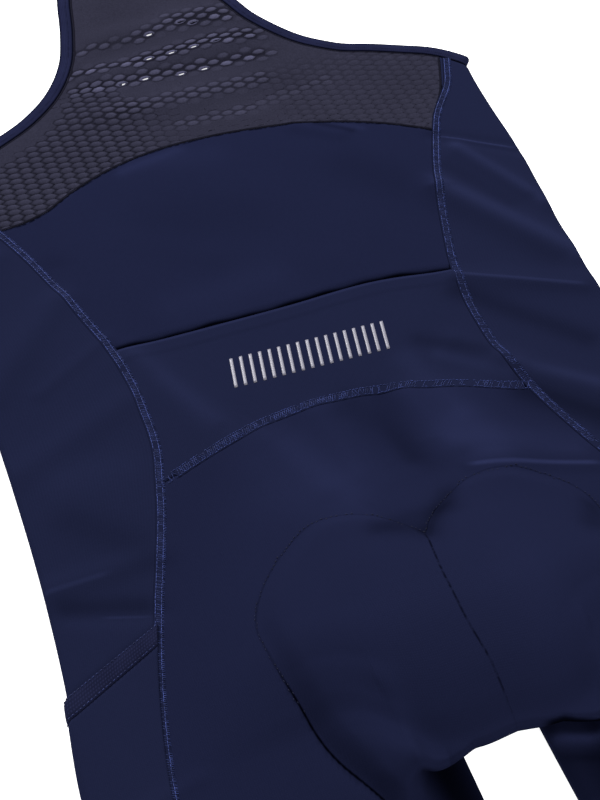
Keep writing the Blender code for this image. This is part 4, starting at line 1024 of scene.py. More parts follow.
def side_line(side, start, end):
    """The middle of a side seam's gap, between two heights."""
    up = np.linspace(start, end, 400)
    return np.stack([side*(column(SIDE_SEAM, up) + SEAM_GAP/2), up], 1)


def seam_line(table, gap=0.0):
    """A seam across the back, from one side seam to the other."""
    left, right = (column(SIDE_SEAM, seam_end(table, side)) for side in (-1, 1))
    across = np.linspace(-left, right, 260)
    return np.stack([across, column(table, across) + gap], 1)


def tape_on(name, line, half, raise_by, dark=(0.8, 0.8), sink=0.35, step=1.5, start=0.0, end=0.0):
    """A thin tape along a line of the upper layer, its edges pressed into the cloth.

    dark says how much painted shade each edge gets, the one to the line's left first.
    """
    length = line_length(line)
    at = np.linspace(start, length - end, int((length - start - end)/step))[:, None]
    off = half*np.array([1.0, 0.82, 0.4, 0.0, -0.4, -0.82, -1.0])[None]
    rise = np.array([-sink, 0.75*raise_by, raise_by, raise_by, raise_by, 0.75*raise_by, -sink])
    across, up = beside_line(line, at, off)
    outer = on_layer(across, up, rise)
    inner = on_layer(across, up, np.full(7, -0.6))
    uv = np.stack(np.broadcast_arrays(off, at), -1)
    # painted shade along both edges of the tape, where they are pressed into the cloth
    marks = {"seam": mark(off - 0.93*half + 0*at, dark[0], 1.0),
             "crease": mark(off + 0.93*half + 0*at, dark[1], 1.0)}
    return wall(name, outer, None, uv, inner=inner, roll=0.0, marks=marks)


STITCH_PARTS = np.array([0.0, 0.2, 0.8, 1.0])       # places along one stitch
STITCH_RISE = np.array([-0.9, 1.0, 1.0, -0.9])      # and how far each stands out of the cloth


def stitches(line, offs, pitch, share=0.8, lift=0.3, sway=0.12, seed=1, fade=0.0, missed=0.0):
    """Lines of single stitches along rows beside a line: each rises out of the cloth and dips.

    Some are pulled in and don't show: a share of them all, and more over the first stretch.
    """
    draw = np.random.default_rng(seed)
    count = int(line_length(line)/pitch)
    rows = []
    for off in offs:
        start = (np.arange(count) + draw.uniform(0.0, 0.4))*pitch
        start = start + draw.normal(0.0, 0.04*pitch, count)
        start = start[draw.uniform(size=count) < (1 - missed)*ease(start, -1.0, fade)]
        at = start[:, None] + pitch*share*STITCH_PARTS
        beside = off + draw.normal(0.0, sway, len(start))[:, None] + 0*at
        across, up = beside_line(line, at, beside)
        rows.append(on_layer(across, up, lift*STITCH_RISE))
    return np.concatenate(rows)


def rungs(line, low, high, pitch, slant=0.5, lift=0.26, seed=2, gaps=0.0, fade=0.0, clump=0.0,
          thin=0.0):
    """Cross threads of a flat seam: each runs from one row of stitches to another.

    gaps is the share that is missed, clump how much the rest stand in uneven groups, and thin
    the share that is missed as well over the last part of the line.
    """
    draw = np.random.default_rng(seed)
    count = int(line_length(line)/pitch)
    start = (np.arange(count) + 0.5)*pitch
    group = 0.5 + 0.5*np.sin(start/6.3 + 2.2*np.sin(start/23.0 + seed))
    kept = (1 - gaps)*(1 - clump*(1 - group))*ease(start, -1.0, fade)
    kept = kept*(1 - thin*ease(start/(count*pitch), 0.5, 0.75))
    start = start[draw.uniform(size=count) < kept]
    share = np.array([0.0, 0.18, 0.5, 0.82, 1.0])
    at = start[:, None] + slant*pitch*(share - 0.5) + draw.normal(0, 0.08*pitch, (len(start), 1))
    across, up = beside_line(line, at, low + (high - low)*share[None] + 0*at)
    return on_layer(across, up, lift*np.array([-0.6, 1.0, 1.1, 1.0, -0.6]))


def stitches_on(points, normals, pitch, share=0.6, lift=0.25, seed=5):
    """Single stitches along a line of places on a piece, with the normals at each of them."""
    lengths = run_lengths(points)
    count = int(lengths[-1]/pitch)
    start = (np.arange(count) + np.random.default_rng(seed).uniform(0.1, 0.3, count))*pitch
    at = start[:, None] + pitch*share*STITCH_PARTS
    places, facing = (read_along(at, lengths, values) for values in (points, normals))
    facing = unit(facing)
    return places + facing*(lift*STITCH_RISE)[:, None], facing


def padded_rows(groups):
    """Threads of unequal point counts brought to the same count, and the radius of each.

    groups holds pairs: threads, and their radius. The points are added in even steps.
    """
    most = max(lines.shape[1] for lines, _radius in groups)
    out = []
    for lines, _radius in groups:
        at = np.linspace(0, lines.shape[1] - 1, most)
        low = np.minimum(at.astype(int), lines.shape[1] - 2)
        part = (at - low)[None, :, None]
        out.append(lines[:, low]*(1 - part) + lines[:, low + 1]*part)
    return np.concatenate(out), np.concatenate([np.full(len(lines), each)
                                                for lines, each in groups])


# ---- tapes round the armholes and the neck
def tape_round(name, edge, normals, side=1):
    """A folded tape beside a closed edge, with a rounded section, its width beside the panels."""
    ring = np.concatenate([edge, edge[:1]])
    lengths = run_lengths(ring)
    count = int(lengths[-1]/TAPE_STEP)
    at = np.arange(count)*lengths[-1]/count
    edge = read_along(at, lengths, ring)
    normals = unit(read_along(at, lengths, np.concatenate([normals, normals[:1]])))
    for _ in range(2):
        edge = 0.5*edge + 0.25*(np.roll(edge, 1, 0) + np.roll(edge, -1, 0))
        normals = unit(0.5*normals + 0.25*(np.roll(normals, 1, 0) + np.roll(normals, -1, 0)))
    outward = unit(np.cross(normals, np.roll(edge, -1, 0) - np.roll(edge, 1, 0)))
    turn = np.linspace(0, 2*np.pi, 20, endpoint=False)
    power = 0.55
    wide = (BINDING_WIDTH - PLY_GAP)/2
    tall = (BINDING_DEPTH + BINDING_RAISE)/2
    off = PLY_GAP + wide + wide*np.sign(np.cos(turn))*np.abs(np.cos(turn))**power
    rise = -tall + BINDING_RAISE + tall*np.sign(np.sin(turn))*np.abs(np.sin(turn))**power
    points = (edge[:, None] + outward[:, None]*off[None, :, None]
              + normals[:, None]*rise[None, :, None])
    points[..., 2] = np.maximum(points[..., 2], 0.0)
    points = mirrored(points, side)
    number = np.arange(points.shape[0]*points.shape[1]).reshape(points.shape[:2])
    after = np.roll(number, -1, 1)
    faces = np.stack([number, after, np.roll(after, -1, 0), np.roll(number, -1, 0)], -1)
    faces = faces.reshape(-1, 4)
    if side < 0:
        faces = faces[:, ::-1]
    uv = np.stack([off[None] + 0*at[:, None], at[:, None] + 0*off[None]], -1).reshape(-1, 2)
    # painted shade at the inner edge beside the panel and where the tape turns down at its outer edge,
    # and a broken darker line 3.4 mm in
    lines = {"seam": mark(uv[:, 0] - 0.2, 0.9, 2.0),
             "fold": mark(uv[:, 0] - BINDING_WIDTH, 0.6, 2.2),
             "crease": mark(uv[:, 0] - 3.4, 0.3, 1.3)}
    return new_mesh(name, points.reshape(-1, 3), faces[:, ::-1], uv, marks=lines)


STRAP_RADIUS = YOKE_HEIGHT/2.0
STRAP_TURN_UP = SHOULDER_UP - STRAP_RADIUS
STRAP_ARC = np.pi*STRAP_RADIUS


def strap_frame(run):
    """Height up the garment, height above the floor, and normal, at a distance along a strap.

    The distance is the height up the garment on the back. It runs on round the shoulder fold,
    a half circle, and then down the front.
    """
    angle = np.clip((run - STRAP_TURN_UP)/STRAP_RADIUS, 0.0, np.pi)
    past = np.maximum(run - STRAP_TURN_UP - STRAP_ARC, 0.0)
    up = np.minimum(run, STRAP_TURN_UP) + STRAP_RADIUS*np.sin(angle) - past
    height = STRAP_RADIUS*(1 + np.cos(angle))
    zero = np.zeros_like(angle)
    return up, height, np.stack([zero, np.sin(angle), np.cos(angle)], -1)


def strap_edges(side, run):
    """Inner and outer edge of a strap, as distances from the centre line."""
    back = STRAP_BACK_RIGHT if side > 0 else STRAP_BACK_LEFT
    front = STRAP_FRONT_RIGHT if side > 0 else STRAP_FRONT_LEFT
    edge = armhole(side)
    over = edge[edge[:, 1] >= YOKE_TOP_UP]
    fine = outline(edge, FINE_POINTS)
    fine = fine[fine[:, 1] > armhole_up(170.0, side)]
    up = strap_frame(run)[0]
    on_front = run > STRAP_TURN_UP + STRAP_RADIUS*np.pi/2
    inner = np.where(on_front, column(front, up), column(back, up))
    meeting = seam_top(FRONT_SEAM, side)
    low = np.interp(up, fine[:, 1], fine[:, 0])
    outer = np.where(up >= YOKE_TOP_UP, smooth_value(up, over[:, 1], over[:, 0]), low)
    return inner, np.where(up < meeting, column(FRONT_SEAM, up), outer)


def front_end():
    """Distance along a strap where it meets the front panel."""
    return STRAP_TURN_UP + STRAP_ARC + STRAP_TURN_UP - FRONT_TOP_UP - SEAM_GAP


def strap_edge_points(side, runs, outer):
    """Places and normals along an edge of a strap, on the right-hand side."""
    up, height, normals = strap_frame(runs)
    across = strap_edges(side, runs)[1 if outer else 0]
    return np.stack([across, up, height], -1), normals


def level_points(side, line):
    """Places on the upper layer along a flat line, on the right-hand side, with upright normals."""
    points = mirrored(upper_layer(side*line[:, 0], line[:, 1]), side)
    return points, upright(points)


def armhole_edge(side):
    """Closed edge of an armhole: down the back, round the side fold and up the front."""
    middle = STRAP_TURN_UP + STRAP_ARC/2
    back = strap_edge_points(side, np.linspace(middle, YOKE_TOP_UP + SEAM_GAP, 40), True)
    arm = level_points(side, armhole_run(side, seam_top(SIDE_SEAM, side), 200)[::-1])
    turns = fine_turns()
    ups = side_rows(side, turns, ARMHOLE_ROWS)
    grid = mirrored(side_place(ups, turns[None], side), side)
    turned = grid[-1], grid_normals(grid)[-1]
    corner_run = STRAP_TURN_UP + STRAP_ARC + STRAP_TURN_UP - seam_top(FRONT_SEAM, side)
    front = strap_edge_points(side, np.linspace(corner_run - 0.5, middle, 200)[:-1], True)
    return [np.concatenate(part) for part in zip(back, arm, turned, front)]


def neck_edge():
    """Closed edge of the neck: yoke, right strap to the front, front neckline, left strap."""
    neck = outline(NECK_BACK, 60)
    points = upper_layer(neck[:, 0], neck[:, 1])
    runs = np.linspace(YOKE_TOP_UP + SEAM_GAP, front_end(), 360)
    right = strap_edge_points(1, runs, False)
    left = strap_edge_points(-1, runs[::-1], False)
    low = outline(NECKLINE, 90)[::-1][1:-1]
    front = np.concatenate([low, np.zeros((len(low), 1))], 1)
    left = [mirrored(values, -1) for values in left]
    parts = [(points, upright(points)), right, (front, upright(front, -1.0)), left]
    return [np.concatenate(part) for part in zip(*parts)]


# ---- finishes
def add_node(tree, kind, inputs=(), **settings):
    """A node with its settings, whose inputs are values or other nodes' outputs."""
    made = tree.nodes.new("ShaderNode" + kind)
    for key, value in settings.items():
        setattr(made, key, value)
    for key, value in dict(inputs).items():
        if isinstance(value, bpy.types.NodeSocket):
            tree.links.new(value, made.inputs[key])
        else:
            made.inputs[key].default_value = value
    return made


def new_material(name, roughness, sheen=0.0, sheen_colour=(0.5, 0.55, 0.9), specular=0.0):
    """A material with its tree and its shader, which scatters light and has a faint sheen."""
    material = bpy.data.materials.new(name)
    material.use_nodes = True
    tree = material.node_tree
    shader = tree.nodes["Principled BSDF"]
    for key, value in (("Roughness", roughness), ("Specular IOR Level", specular),
                       ("Sheen Weight", sheen), ("Sheen Roughness", 0.45),
                       ("Sheen Tint", (*sheen_colour, 1.0))):
        shader.inputs[key].default_value = value
    return material, tree, shader


def mixed(tree, factor, low, high):
    """A colour between two, by a pattern."""
    return add_node(tree, "Mix", {0: factor, 6: (*low, 1.0), 7: (*high, 1.0)},
                    data_type="RGBA").outputs[2]


def scaled(colour, share):
    """A colour made darker or lighter."""
    return tuple(part*share for part in colour)


def place_in(tree, kind="Object"):
    """Coordinates in metres: the piece's own, or with UV those of its flat cloth."""
    node = tree.nodes.get("Texture Coordinate") or add_node(tree, "TexCoord")
    return node.outputs[kind]


def noise(tree, scale, detail=1.0):
    """Noise on the piece's own coordinates."""
    inputs = {"Vector": place_in(tree), "Scale": scale, "Detail": detail}
    return add_node(tree, "TexNoise", inputs).outputs[0]


def bands(tree, period, along="X", **inputs):
    """Even bands on the flat cloth, which repeat after a period in metres."""
    inputs = {"Vector": place_in(tree, "UV"), "Scale": 2*np.pi/(20*period), **inputs}
    return add_node(tree, "TexWave", inputs, bands_direction=along).outputs[1]


def maths(tree, operation, *values):
    """The result of one step of arithmetic in a shader tree."""
    return add_node(tree, "Math", dict(enumerate(values)), operation=operation).outputs[0]


def ranged(tree, value, low, high, new_low=0.0, new_high=1.0):
    """A pattern brought from one range to another."""
    return add_node(tree, "MapRange", {0: value, 1: low, 2: high, 3: new_low,
                                       4: new_high}).outputs[0]


def tint(tree, shader, colour, share=None):
    """Give the shader its colour, times a share when one is given: it carries the painted light and
    shade of the marks and of the net.
    """
    if share is not None:
        colour = add_node(tree, "VectorMath", {0: colour, "Scale": share},
                          operation="SCALE").outputs[0]
    tree.links.new(colour, shader.inputs["Base Color"])


def marked(tree):
    """Share of its colour that the cloth keeps beside its marked lines, which fade to their sides:
    painted shade where a line's depth is above zero, painted highlight where it is below.

    The lines called crease are broken up as stitched ones are.
    """
    total = 0.0
    broken = ranged(tree, noise(tree, 330.0), 0.38, 0.56, 0.3, 1.0)
    for name in ("seam", "crease", "fold", "painted_light_shade"):
        line = add_node(tree, "Attribute", attribute_name=name).outputs["Vector"]
        off, depth, half = add_node(tree, "SeparateXYZ", {0: line}).outputs
        off = maths(tree, "DIVIDE", maths(tree, "ABSOLUTE", off), maths(tree, "MAXIMUM", half, 0.05))
        near = add_node(tree, "MapRange", {0: off, 3: 1.0, 4: 0.0},
                        interpolation_type="SMOOTHSTEP").outputs[0]
        if name == "crease":
            near = maths(tree, "MULTIPLY", near, broken)
        total = maths(tree, "MULTIPLY_ADD", near, depth, total)
    return maths(tree, "SUBTRACT", 1.0, total)


def bumped(tree, shader, height, strength, distance):
    """Raise the surface by a pattern, in metres."""
    bump = add_node(tree, "Bump", {"Height": height, "Strength": strength, "Distance": distance})
    tree.links.new(bump.outputs["Normal"], shader.inputs["Normal"])


def knit(name, colour, wale=0.0011, course=0.0009, contrast=0.08, cloud=0.06, sheen=0.003):
    """Smooth stretch knit: fine wales and courses, and soft clouds of lighter and darker dye."""
    material, tree, shader = new_material(name, 0.62, sheen)
    uneven = {"Distortion": 0.4, "Detail": 1.0}
    loops = maths(tree, "MULTIPLY", bands(tree, wale, **uneven), bands(tree, course, "Y", **uneven))
    base = mixed(tree, noise(tree, 16.0, 3.0), scaled(colour, 1 - cloud), scaled(colour, 1 + cloud))
    specks = ranged(tree, maths(tree, "ADD", loops, noise(tree, 900.0)), 0.2, 1.4, 1 - contrast,
                    1 + contrast)
    # the marked lines paint shade and highlights into the knit's colour
    tint(tree, shader, base, maths(tree, "MULTIPLY", specks, marked(tree)))
    bumped(tree, shader, loops, 0.15, 0.0001)
    return material


def elastic(name, colour, rib=0.0016, rows=0.0022, strength=0.6, depth=0.0003, sheen=0.003):
    """Ribbed elastic: ribs across its width and finer rows along its length."""
    material, tree, shader = new_material(name, 0.5, sheen)
    knots = maths(tree, "MULTIPLY", bands(tree, rib), bands(tree, rows, "Y"))
    pattern = ranged(tree, maths(tree, "ADD", knots, noise(tree, 60.0, 4.0)), 0.3, 1.3)
    # the marked lines paint shade into the colour of the bindings
    tint(tree, shader, mixed(tree, pattern, scaled(colour, 0.7), scaled(colour, 1.4)), marked(tree))
    bumped(tree, shader, knots, strength, depth)
    return material


def thread(name, colour):
    """Sewing thread: a faint gloss, and lighter and darker stitches."""
    material, tree, shader = new_material(name, 0.5, 0.01, specular=0.1)
    tones = ranged(tree, noise(tree, 260.0, 2.0), 0.35, 0.65)
    tint(tree, shader, mixed(tree, tones, scaled(colour, 0.55), scaled(colour, 1.5)))
    return material


def netting(name, colour):
    """Net: the yarn's colour times its painted shade and light, darker in the hollows and in the walls
    of its holes, with a fine yarn grain.
    """
    material, tree, shader = new_material(name, 0.6, 0.006, (0.8, 0.8, 1.0))
    shade = add_node(tree, "Attribute", attribute_name="shade").outputs["Fac"]
    yarn = noise(tree, 1100.0)
    base = mixed(tree, noise(tree, 22.0, 3.0), scaled(colour, 0.82), scaled(colour, 1.2))
    grain = ranged(tree, yarn, 0.3, 0.7, 0.85, 1.15)
    tint(tree, shader, base, maths(tree, "MULTIPLY", shade, grain))
    bumped(tree, shader, yarn, 0.3, 0.0002)
    return material


def reflective(name, colour):
    """Reflective print: pale grey, in fine beads."""
    material, tree, shader = new_material(name, 0.38, specular=0.5)
    beads = add_node(tree, "TexVoronoi", {"Vector": place_in(tree),
                                          "Scale": 1500.0}).outputs["Distance"]
    tint(tree, shader, mixed(tree, beads, scaled(colour, 1.15), scaled(colour, 0.7)))
    bumped(tree, shader, beads, 0.3, 0.0001)
    return material


def brushed(name, colour):
    """Brushed facing of the pad: short soft nap."""
    material, tree, shader = new_material(name, 0.9, 0.1)
    nap = noise(tree, 420.0, 3.0)
    tint(tree, shader, mixed(tree, nap, scaled(colour, 0.75), scaled(colour, 1.25)))
    bumped(tree, shader, nap, 0.4, 0.0004)
    return material


def pale(name, colour, glow):
    """Pale matt floor, with the faintest mottle, lit a little from below as a light table is."""
    material, tree, shader = new_material(name, 0.85, specular=0.1)
    tint(tree, shader, mixed(tree, noise(tree, 3.0, 2.0), scaled(colour, 0.99), colour))
    shader.inputs["Emission Color"].default_value = (1, 1, 1, 1)
    shader.inputs["Emission Strength"].default_value = glow
    return material


# ---- settings
def colour_of(name, description, default):
    """A colour among the settings."""
    return bpy.props.FloatVectorProperty(name=name, description=description, subtype="COLOR",
                                         size=3, min=0.0, max=1.0, default=default)


def length_of(name, description, default, low, high):
    """A length among the settings, in metres."""
    return bpy.props.FloatProperty(name=name, description=description, subtype="DISTANCE",
                                   unit="LENGTH", default=default, min=low, max=high)


class ClothSettings(bpy.types.PropertyGroup):
    """Sizes and colours of the cloth and its sewing."""
    knit_colour: colour_of("Knit", "Dye of the main panels", (0.0088, 0.0109, 0.0318))
    side_colour: colour_of("Side knit", "Dye of the side panels and pockets",
                           (0.0094, 0.0117, 0.0332))
    net_colour: colour_of("Net", "Yarn of the yoke and the straps", (0.0191, 0.019, 0.0328))
    trim_colour: colour_of("Trim", "Bindings and elastic bands", (0.0108, 0.0125, 0.0345))
    thread_colour: colour_of("Thread", "Sewing thread of the flat seams", (0.034, 0.050, 0.176))
    print_colour: colour_of("Reflective print", "Row of dashes on the pocket",
                            (0.20, 0.195, 0.245))
    foam_colour: colour_of("Pad", "Brushed facing of the seat pad", (0.0500, 0.0520, 0.0700))
    net_across: length_of("Net repeat across", "Distance between neighbouring columns of the net",
                          0.008, 0.004, 0.02)
    net_along: length_of("Net repeat along", "Distance between the cells of a column",
                         0.0061, 0.003, 0.02)
    stitch: length_of("Stitch", "Length of one stitch of the flat seams", 0.0021, 0.001, 0.006)
    thread_radius: length_of("Thread radius", "Radius of the sewing thread",
                             0.00021, 0.0001, 0.001)


def amount_of(name, description, default, low=0.0, high=10.0, kind="NONE"):
    """A plain number or a power among the settings."""
    return bpy.props.FloatProperty(name=name, description=description, subtype=kind, unit=kind,
                                   default=default, min=low, max=high)


def angle_of(name, description, degrees):
    """An angle among the settings, kept in radians."""
    return bpy.props.FloatProperty(name=name, description=description, subtype="ANGLE",
                                   default=math.radians(degrees))


class StageSettings(bpy.types.PropertyGroup):
    """Floor, light and camera."""
    floor_colour: colour_of("Floor", "Colour of the pale floor", (0.93, 0.93, 0.935))
    floor_glow: amount_of("Floor glow", "Light that the floor gives out", 0.9)
    sky: amount_of("Sky", "Strength of the even light from all round", 0.55)
    key: amount_of("Key light", "Power of the large soft light beyond the shoulders", 88.0,
                   high=1000.0, kind="POWER")
    fill: amount_of("Fill light", "Power of the soft light on the near side, at the right", 19.0,
                    high=1000.0, kind="POWER")
    lens: amount_of("Lens", "Focal length of the camera in millimetres", 81.4, 10.0, 300.0)
    eye: bpy.props.FloatVectorProperty(
        name="Camera", description="Place of the camera", subtype="XYZ", unit="LENGTH", size=3,
        default=(-0.2439, -0.6429, 0.7245))
    pitch: angle_of("Pitch", "How far the camera looks down", 46.6)
    heading: angle_of("Heading", "How far the camera is turned to the right", 19.5)


def cloth():
    return bpy.context.scene.bib_cloth


def in_mm(metres):
    """Lengths of the settings in the unit of the tables."""
    return metres/METRES_PER_MM


def dress(piece, material, slot, *nodes):
    """Give a piece its finish, its body and the solids that it stands for. slot is not used."""
    piece.data.materials.clear()
    piece.data.materials.append(material)
    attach(piece, "root")
    if nodes:
        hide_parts(*nodes)
    return piece


def finish_of(name, make, *values, **settings):
    """A material by its name, made the first time that it is asked for."""
    return bpy.data.materials.get(name) or make(name, *values, **settings)


def main_knit():
    return finish_of("main knit", knit, cloth().knit_colour)


def side_knit():
    return finish_of("side knit", knit, cloth().side_colour)


def trim():
    return finish_of("binding", elastic, cloth().trim_colour, 0.0011, 0.0013, 0.35, 0.00015)


def ribbed():
    return finish_of("ribbed elastic", elastic, scaled(cloth().trim_colour, 0.95))


def sewing():
    return finish_of("sewing thread", thread, cloth().thread_colour)


def net_yarn():
    return finish_of("net yarn", netting, cloth().net_colour)


SIDES = ((-1, "left"), (1, "right"))


# ---- one operator for each piece or group of pieces, and what only they use
class BIB_OT_front(bpy.types.Operator):
    """Front panel with both leg fronts, lying on the floor"""
    bl_idname = "bib.front"
    bl_label = "Front panel"

    def execute(self, context):
        rows = np.linspace(HEM_SEAM_UP, FRONT_TOP_UP, FRONT_ROWS)
        share = spread(FRONT_COLUMNS, FRONT_SPLIT)
        edge = inseam(rows)[:, None]
        outer = column(FRONT_SEAM, rows)[:, None] - FRONT_GAP
        side = edge + (outer - edge)*share
        gap = edge*np.linspace(-1, 1, FRONT_GAP_COLUMNS + 2)[1:-1]
        across = np.concatenate([-side[:, ::-1], gap, side], axis=1)
        up = rows[:, None] + 0*across
        part = np.clip((up - FRONT_BODY_UP)/(FRONT_TOP_UP - FRONT_BODY_UP), 0, 1)
        reach = NECKLINE[-1][0]
        neck = np.where(np.abs(across) < reach, column(NECKLINE, across), FRONT_TOP_UP)
        up = up + part*(neck - FRONT_TOP_UP)
        keep = np.ones((across.shape[0] - 1, across.shape[1] - 1), bool)
        below = rows[1:] < CROTCH_UP
        keep[:below.sum(), share.size - 1:share.size + FRONT_GAP_COLUMNS] = False
        points = np.stack([across, up, 0*across], -1)[:, ::-1]
        inner = points + np.array([0.0, 0.0, CLOTH])
        uv = np.stack([across, up], -1)[:, ::-1]
        piece = wall("front_cloth", points, None, uv, keep[:, ::-1], inner=inner, roll=0.0)
        dress(piece, main_knit(), "main_knit", "front_panel")
        return {"FINISHED"}


class BIB_OT_pad(bpy.types.Operator):
    """Folded seat pad between the seat and the front panel"""
    bl_idname = "bib.pad"
    bl_label = "Seat pad"

    def execute(self, context):
        fine = outline(PAD_SECTIONS, 60)
        share = np.sin(np.linspace(-0.5, 0.5, 61)*np.pi)
        across = fine[:, 1:2]*share[None]
        up = np.repeat(fine[:, :1], len(share), axis=1)
        channel = np.exp(-((np.abs(across) - 26.0)/4.0)**2)*2.2
        top = upper_layer(across, up) - np.array([0.0, 0.0, 1.0])*(PAD_DROP + channel)[..., None]
        floor = np.stack([across, up, np.full(up.shape, CLOTH + SEAM_GAP)], -1)
        piece = wall("pad_foam", top, None, inner=floor)
        dress(piece, finish_of("pad facing", brushed, cloth().foam_colour), "foam", "seat_pad")
        return {"FINISHED"}


class BIB_OT_seat(bpy.types.Operator):
    """Seat panel with both leg backs, over the folded pad"""
    bl_idname = "bib.seat"
    bl_label = "Seat panel"

    def execute(self, context):
        across, up, keep = seat_cut()
        beyond = np.abs(across)
        low = ease(up, 112, 75)*ease(up, *PAD_CREASE_FOOT)*ease(beyond, *PAD_CREASE_ACROSS)
        faint = 0.26*ease(up, 70, 100)
        middle = held(PAD_MIDDLE, up)
        reach = pad_inside(across, up)
        points = upper_layer(across, up)
        # painted shadow on the steep faces under the lip, strong right of the gap, and painted shade
        # near the crease beside the pad's lower sides
        steep = 1 - ease(grid_normals(points)[..., 2], 0.14, 0.46)
        under = steep*(0.08 + 0.84*ease(across, 9, 17))
        shadow = under + 0.2*low*np.exp(-np.maximum(reach, 0.0)/9.0)*(reach > -1.0)
        # painted shade in the crease beside the pad's lower sides and a faint darker line along its
        # sewn outline above, painted shade down the pad's middle crease, a painted highlight along the
        # fold above its right lobe, and the painted highlights, shade and shadow above
        marks = {"seam": mark(reach, np.maximum(faint, 0.78*low), 1.0),
                 "crease": mark(across - middle,
                                0.7*ease(up, 52, 80)*(1 - ease(up, 134, 148)), 1.0),
                 "fold": line_mark(across, up, *SEAT_LINE),
                 "painted_light_shade": painted_light_shade(across, up, shadow)}
        piece = wall("seat_cloth", points, CLOTH, np.stack([across, up], -1), keep, marks=marks)
        dress(piece, main_knit(), "main_knit", "seat_panel")
        return {"FINISHED"}


class BIB_OT_sides(bpy.types.Operator):
    """Side panels, from the back seam round the fold to the front seam"""
    bl_idname = "bib.sides"
    bl_label = "Side panels"

    def execute(self, context):
        turns = fine_turns()
        for side, word in SIDES:
            ups = side_rows(side, turns, SIDE_ROWS)
            points = side_place(ups, turns[None], side)
            width = np.linalg.norm(np.diff(points, axis=1), axis=-1).mean(axis=0)
            run = side*np.concatenate([[0.0], np.cumsum(width)])
            uv = np.stack([run[None] + 0*ups, ups], -1)
            across = points[..., 0]
            # painted highlights and shade along the soft folds, and thin painted highlights along the
            # sharpest ones, none round and below the fold
            marks = {"painted_light_shade": painted_light_shade(across, ups)}
            for key, line in SIDE_LINES[side].items():
                marks[key] = line_mark(across, ups, *line)
            for grid in marks.values():
                grid[:, turns > SIDE_TOP_COLUMNS + 1, 1] = 0.0
            marks = {key: facing_out(grid, side) for key, grid in marks.items()}
            piece = wall(f"side_cloth_{word}", facing_out(points, side), CLOTH,
                         facing_out(uv, side), marks=marks)
            dress(piece, side_knit(), "side_knit", f"side_panel_{word}")
        return {"FINISHED"}


class BIB_OT_back(bpy.types.Operator):
    """Back panel, and the pocket that lies on its lower half"""
    bl_idname = "bib.back"
    bl_label = "Back panel and pocket"

    def execute(self, context):
        across, up = cut_between(WAIST_SEAM, YOKE_SEAM, BACK_ROWS, BACK_COLUMNS, WAIST_GAP)
        points = upper_layer(across, up)
        mouth = column(POCKET_MOUTH, across)
        points[..., 2] -= POCKET_DROP*(1 - ease(up, mouth, mouth + POCKET_STEP))
        wavy = 0.35*np.sin(across/9.0) + 0.25*np.sin(across/3.7 + 1.0)
        # painted shadow just above the pocket's mouth, painted shade along the top edge under the yoke
        # seam, and painted highlights and shade along the folds
        marks = {"seam": mark(up - mouth - 1.7 - wavy, 0.96, 2.7),
                 "crease": mark(column(YOKE_SEAM, across) - up - 0.5 + 0.6*wavy, 0.85, 1.6),
                 "painted_light_shade": painted_light_shade(across, up)}
        piece = wall("back_cloth", points, CLOTH, np.stack([across, up], -1), marks=marks)
        dress(piece, main_knit(), "main_knit", "back_panel")
        across, up = cut_between(WAIST_SEAM, POCKET_MOUTH, POCKET_ROWS, BACK_COLUMNS, WAIST_GAP)
        points = upper_layer(across, up)
        below = column(POCKET_MOUTH, across) - up
        hem = 0.35*ease(below, 11.0, 9.5)*ease(below, -1.0, 0.8)
        points[..., 2] += hem
        # a painted highlight along the hem just below the mouth, and painted highlights and shade
        # along the folds
        piece = wall("pocket_cloth", points, CLOTH, np.stack([across, up], -1), roll=0.2,
                     marks={"seam": mark(below - 1.4, -0.35, 1.4), "painted_light_shade": painted_light_shade(across, up)})
        dress(piece, side_knit(), "side_knit", "back_pocket")
        return {"FINISHED"}


def yoke_edge():
    """Closed outline of the yoke in the flat cut, against the clock."""
    left_arm = armhole_run(-1, seam_top(SIDE_SEAM, -1), 220)*np.array([-1.0, 1.0])
    right_arm = armhole_run(1, seam_top(SIDE_SEAM, 1), 220)
    low = seam_line(YOKE_SEAM, SEAM_GAP)
    neck = outline(NECK_BACK, 50)[::-1]
    sides = {}
    for side in (-1, 1):
        ups = np.linspace(seam_end(YOKE_SEAM, side), seam_top(SIDE_SEAM, side), 50)[1:-1]
        sides[side] = np.stack([side*column(SIDE_SEAM, ups), ups], 1)
    return np.concatenate([low, sides[1], right_arm, neck, left_arm[::-1], sides[-1][::-1]])


def even(edge, step):
    """A closed outline with points at even steps."""
    ring = np.concatenate([edge, edge[:1]])
    lengths = run_lengths(ring)
    count = int(lengths[-1]/step)
    return read_along(np.arange(count)*lengths[-1]/count, lengths, ring)


def hem_strip(name, edge, width, place, raise_by=0.12, thickness=0.7):
    """A narrow strip of cloth inside a closed outline, against the clock, at the net's edge."""
    heading = unit(np.roll(edge, -2, 0) - np.roll(edge, 2, 0))
    inward = np.stack([-heading[:, 1], heading[:, 0]], 1)
    off = np.array([-0.35, 0.15*width, 0.6*width, width])
    rise = np.array([-0.3, raise_by, raise_by, -0.3])
    flat = edge[:, None] + inward[:, None]*off[None, :, None]
    points, normals = place(flat.reshape(-1, 2))
    points = points.reshape(*flat.shape[:2], 3)
    normals = normals.reshape(points.shape)
    outer = points + normals*rise[None, :, None]
    inner = points - normals*thickness
    return wall(name, outer[:, ::-1], None, flat[:, ::-1], inner=inner[:, ::-1], wrap_rows=True,
                roll=0.0)


def layer_place(flat):
    """Points and normals of the upper layer at flat places."""
    return upper_layer(flat[:, 0], flat[:, 1]), layer_normals(flat[:, 0], flat[:, 1])


def strap_place(flat):
    """Points and normals of a strap, where flat places run over the shoulder."""
    up, height, normals = strap_frame(flat[:, 1])
    return np.stack([flat[:, 0], up, height], -1), normals


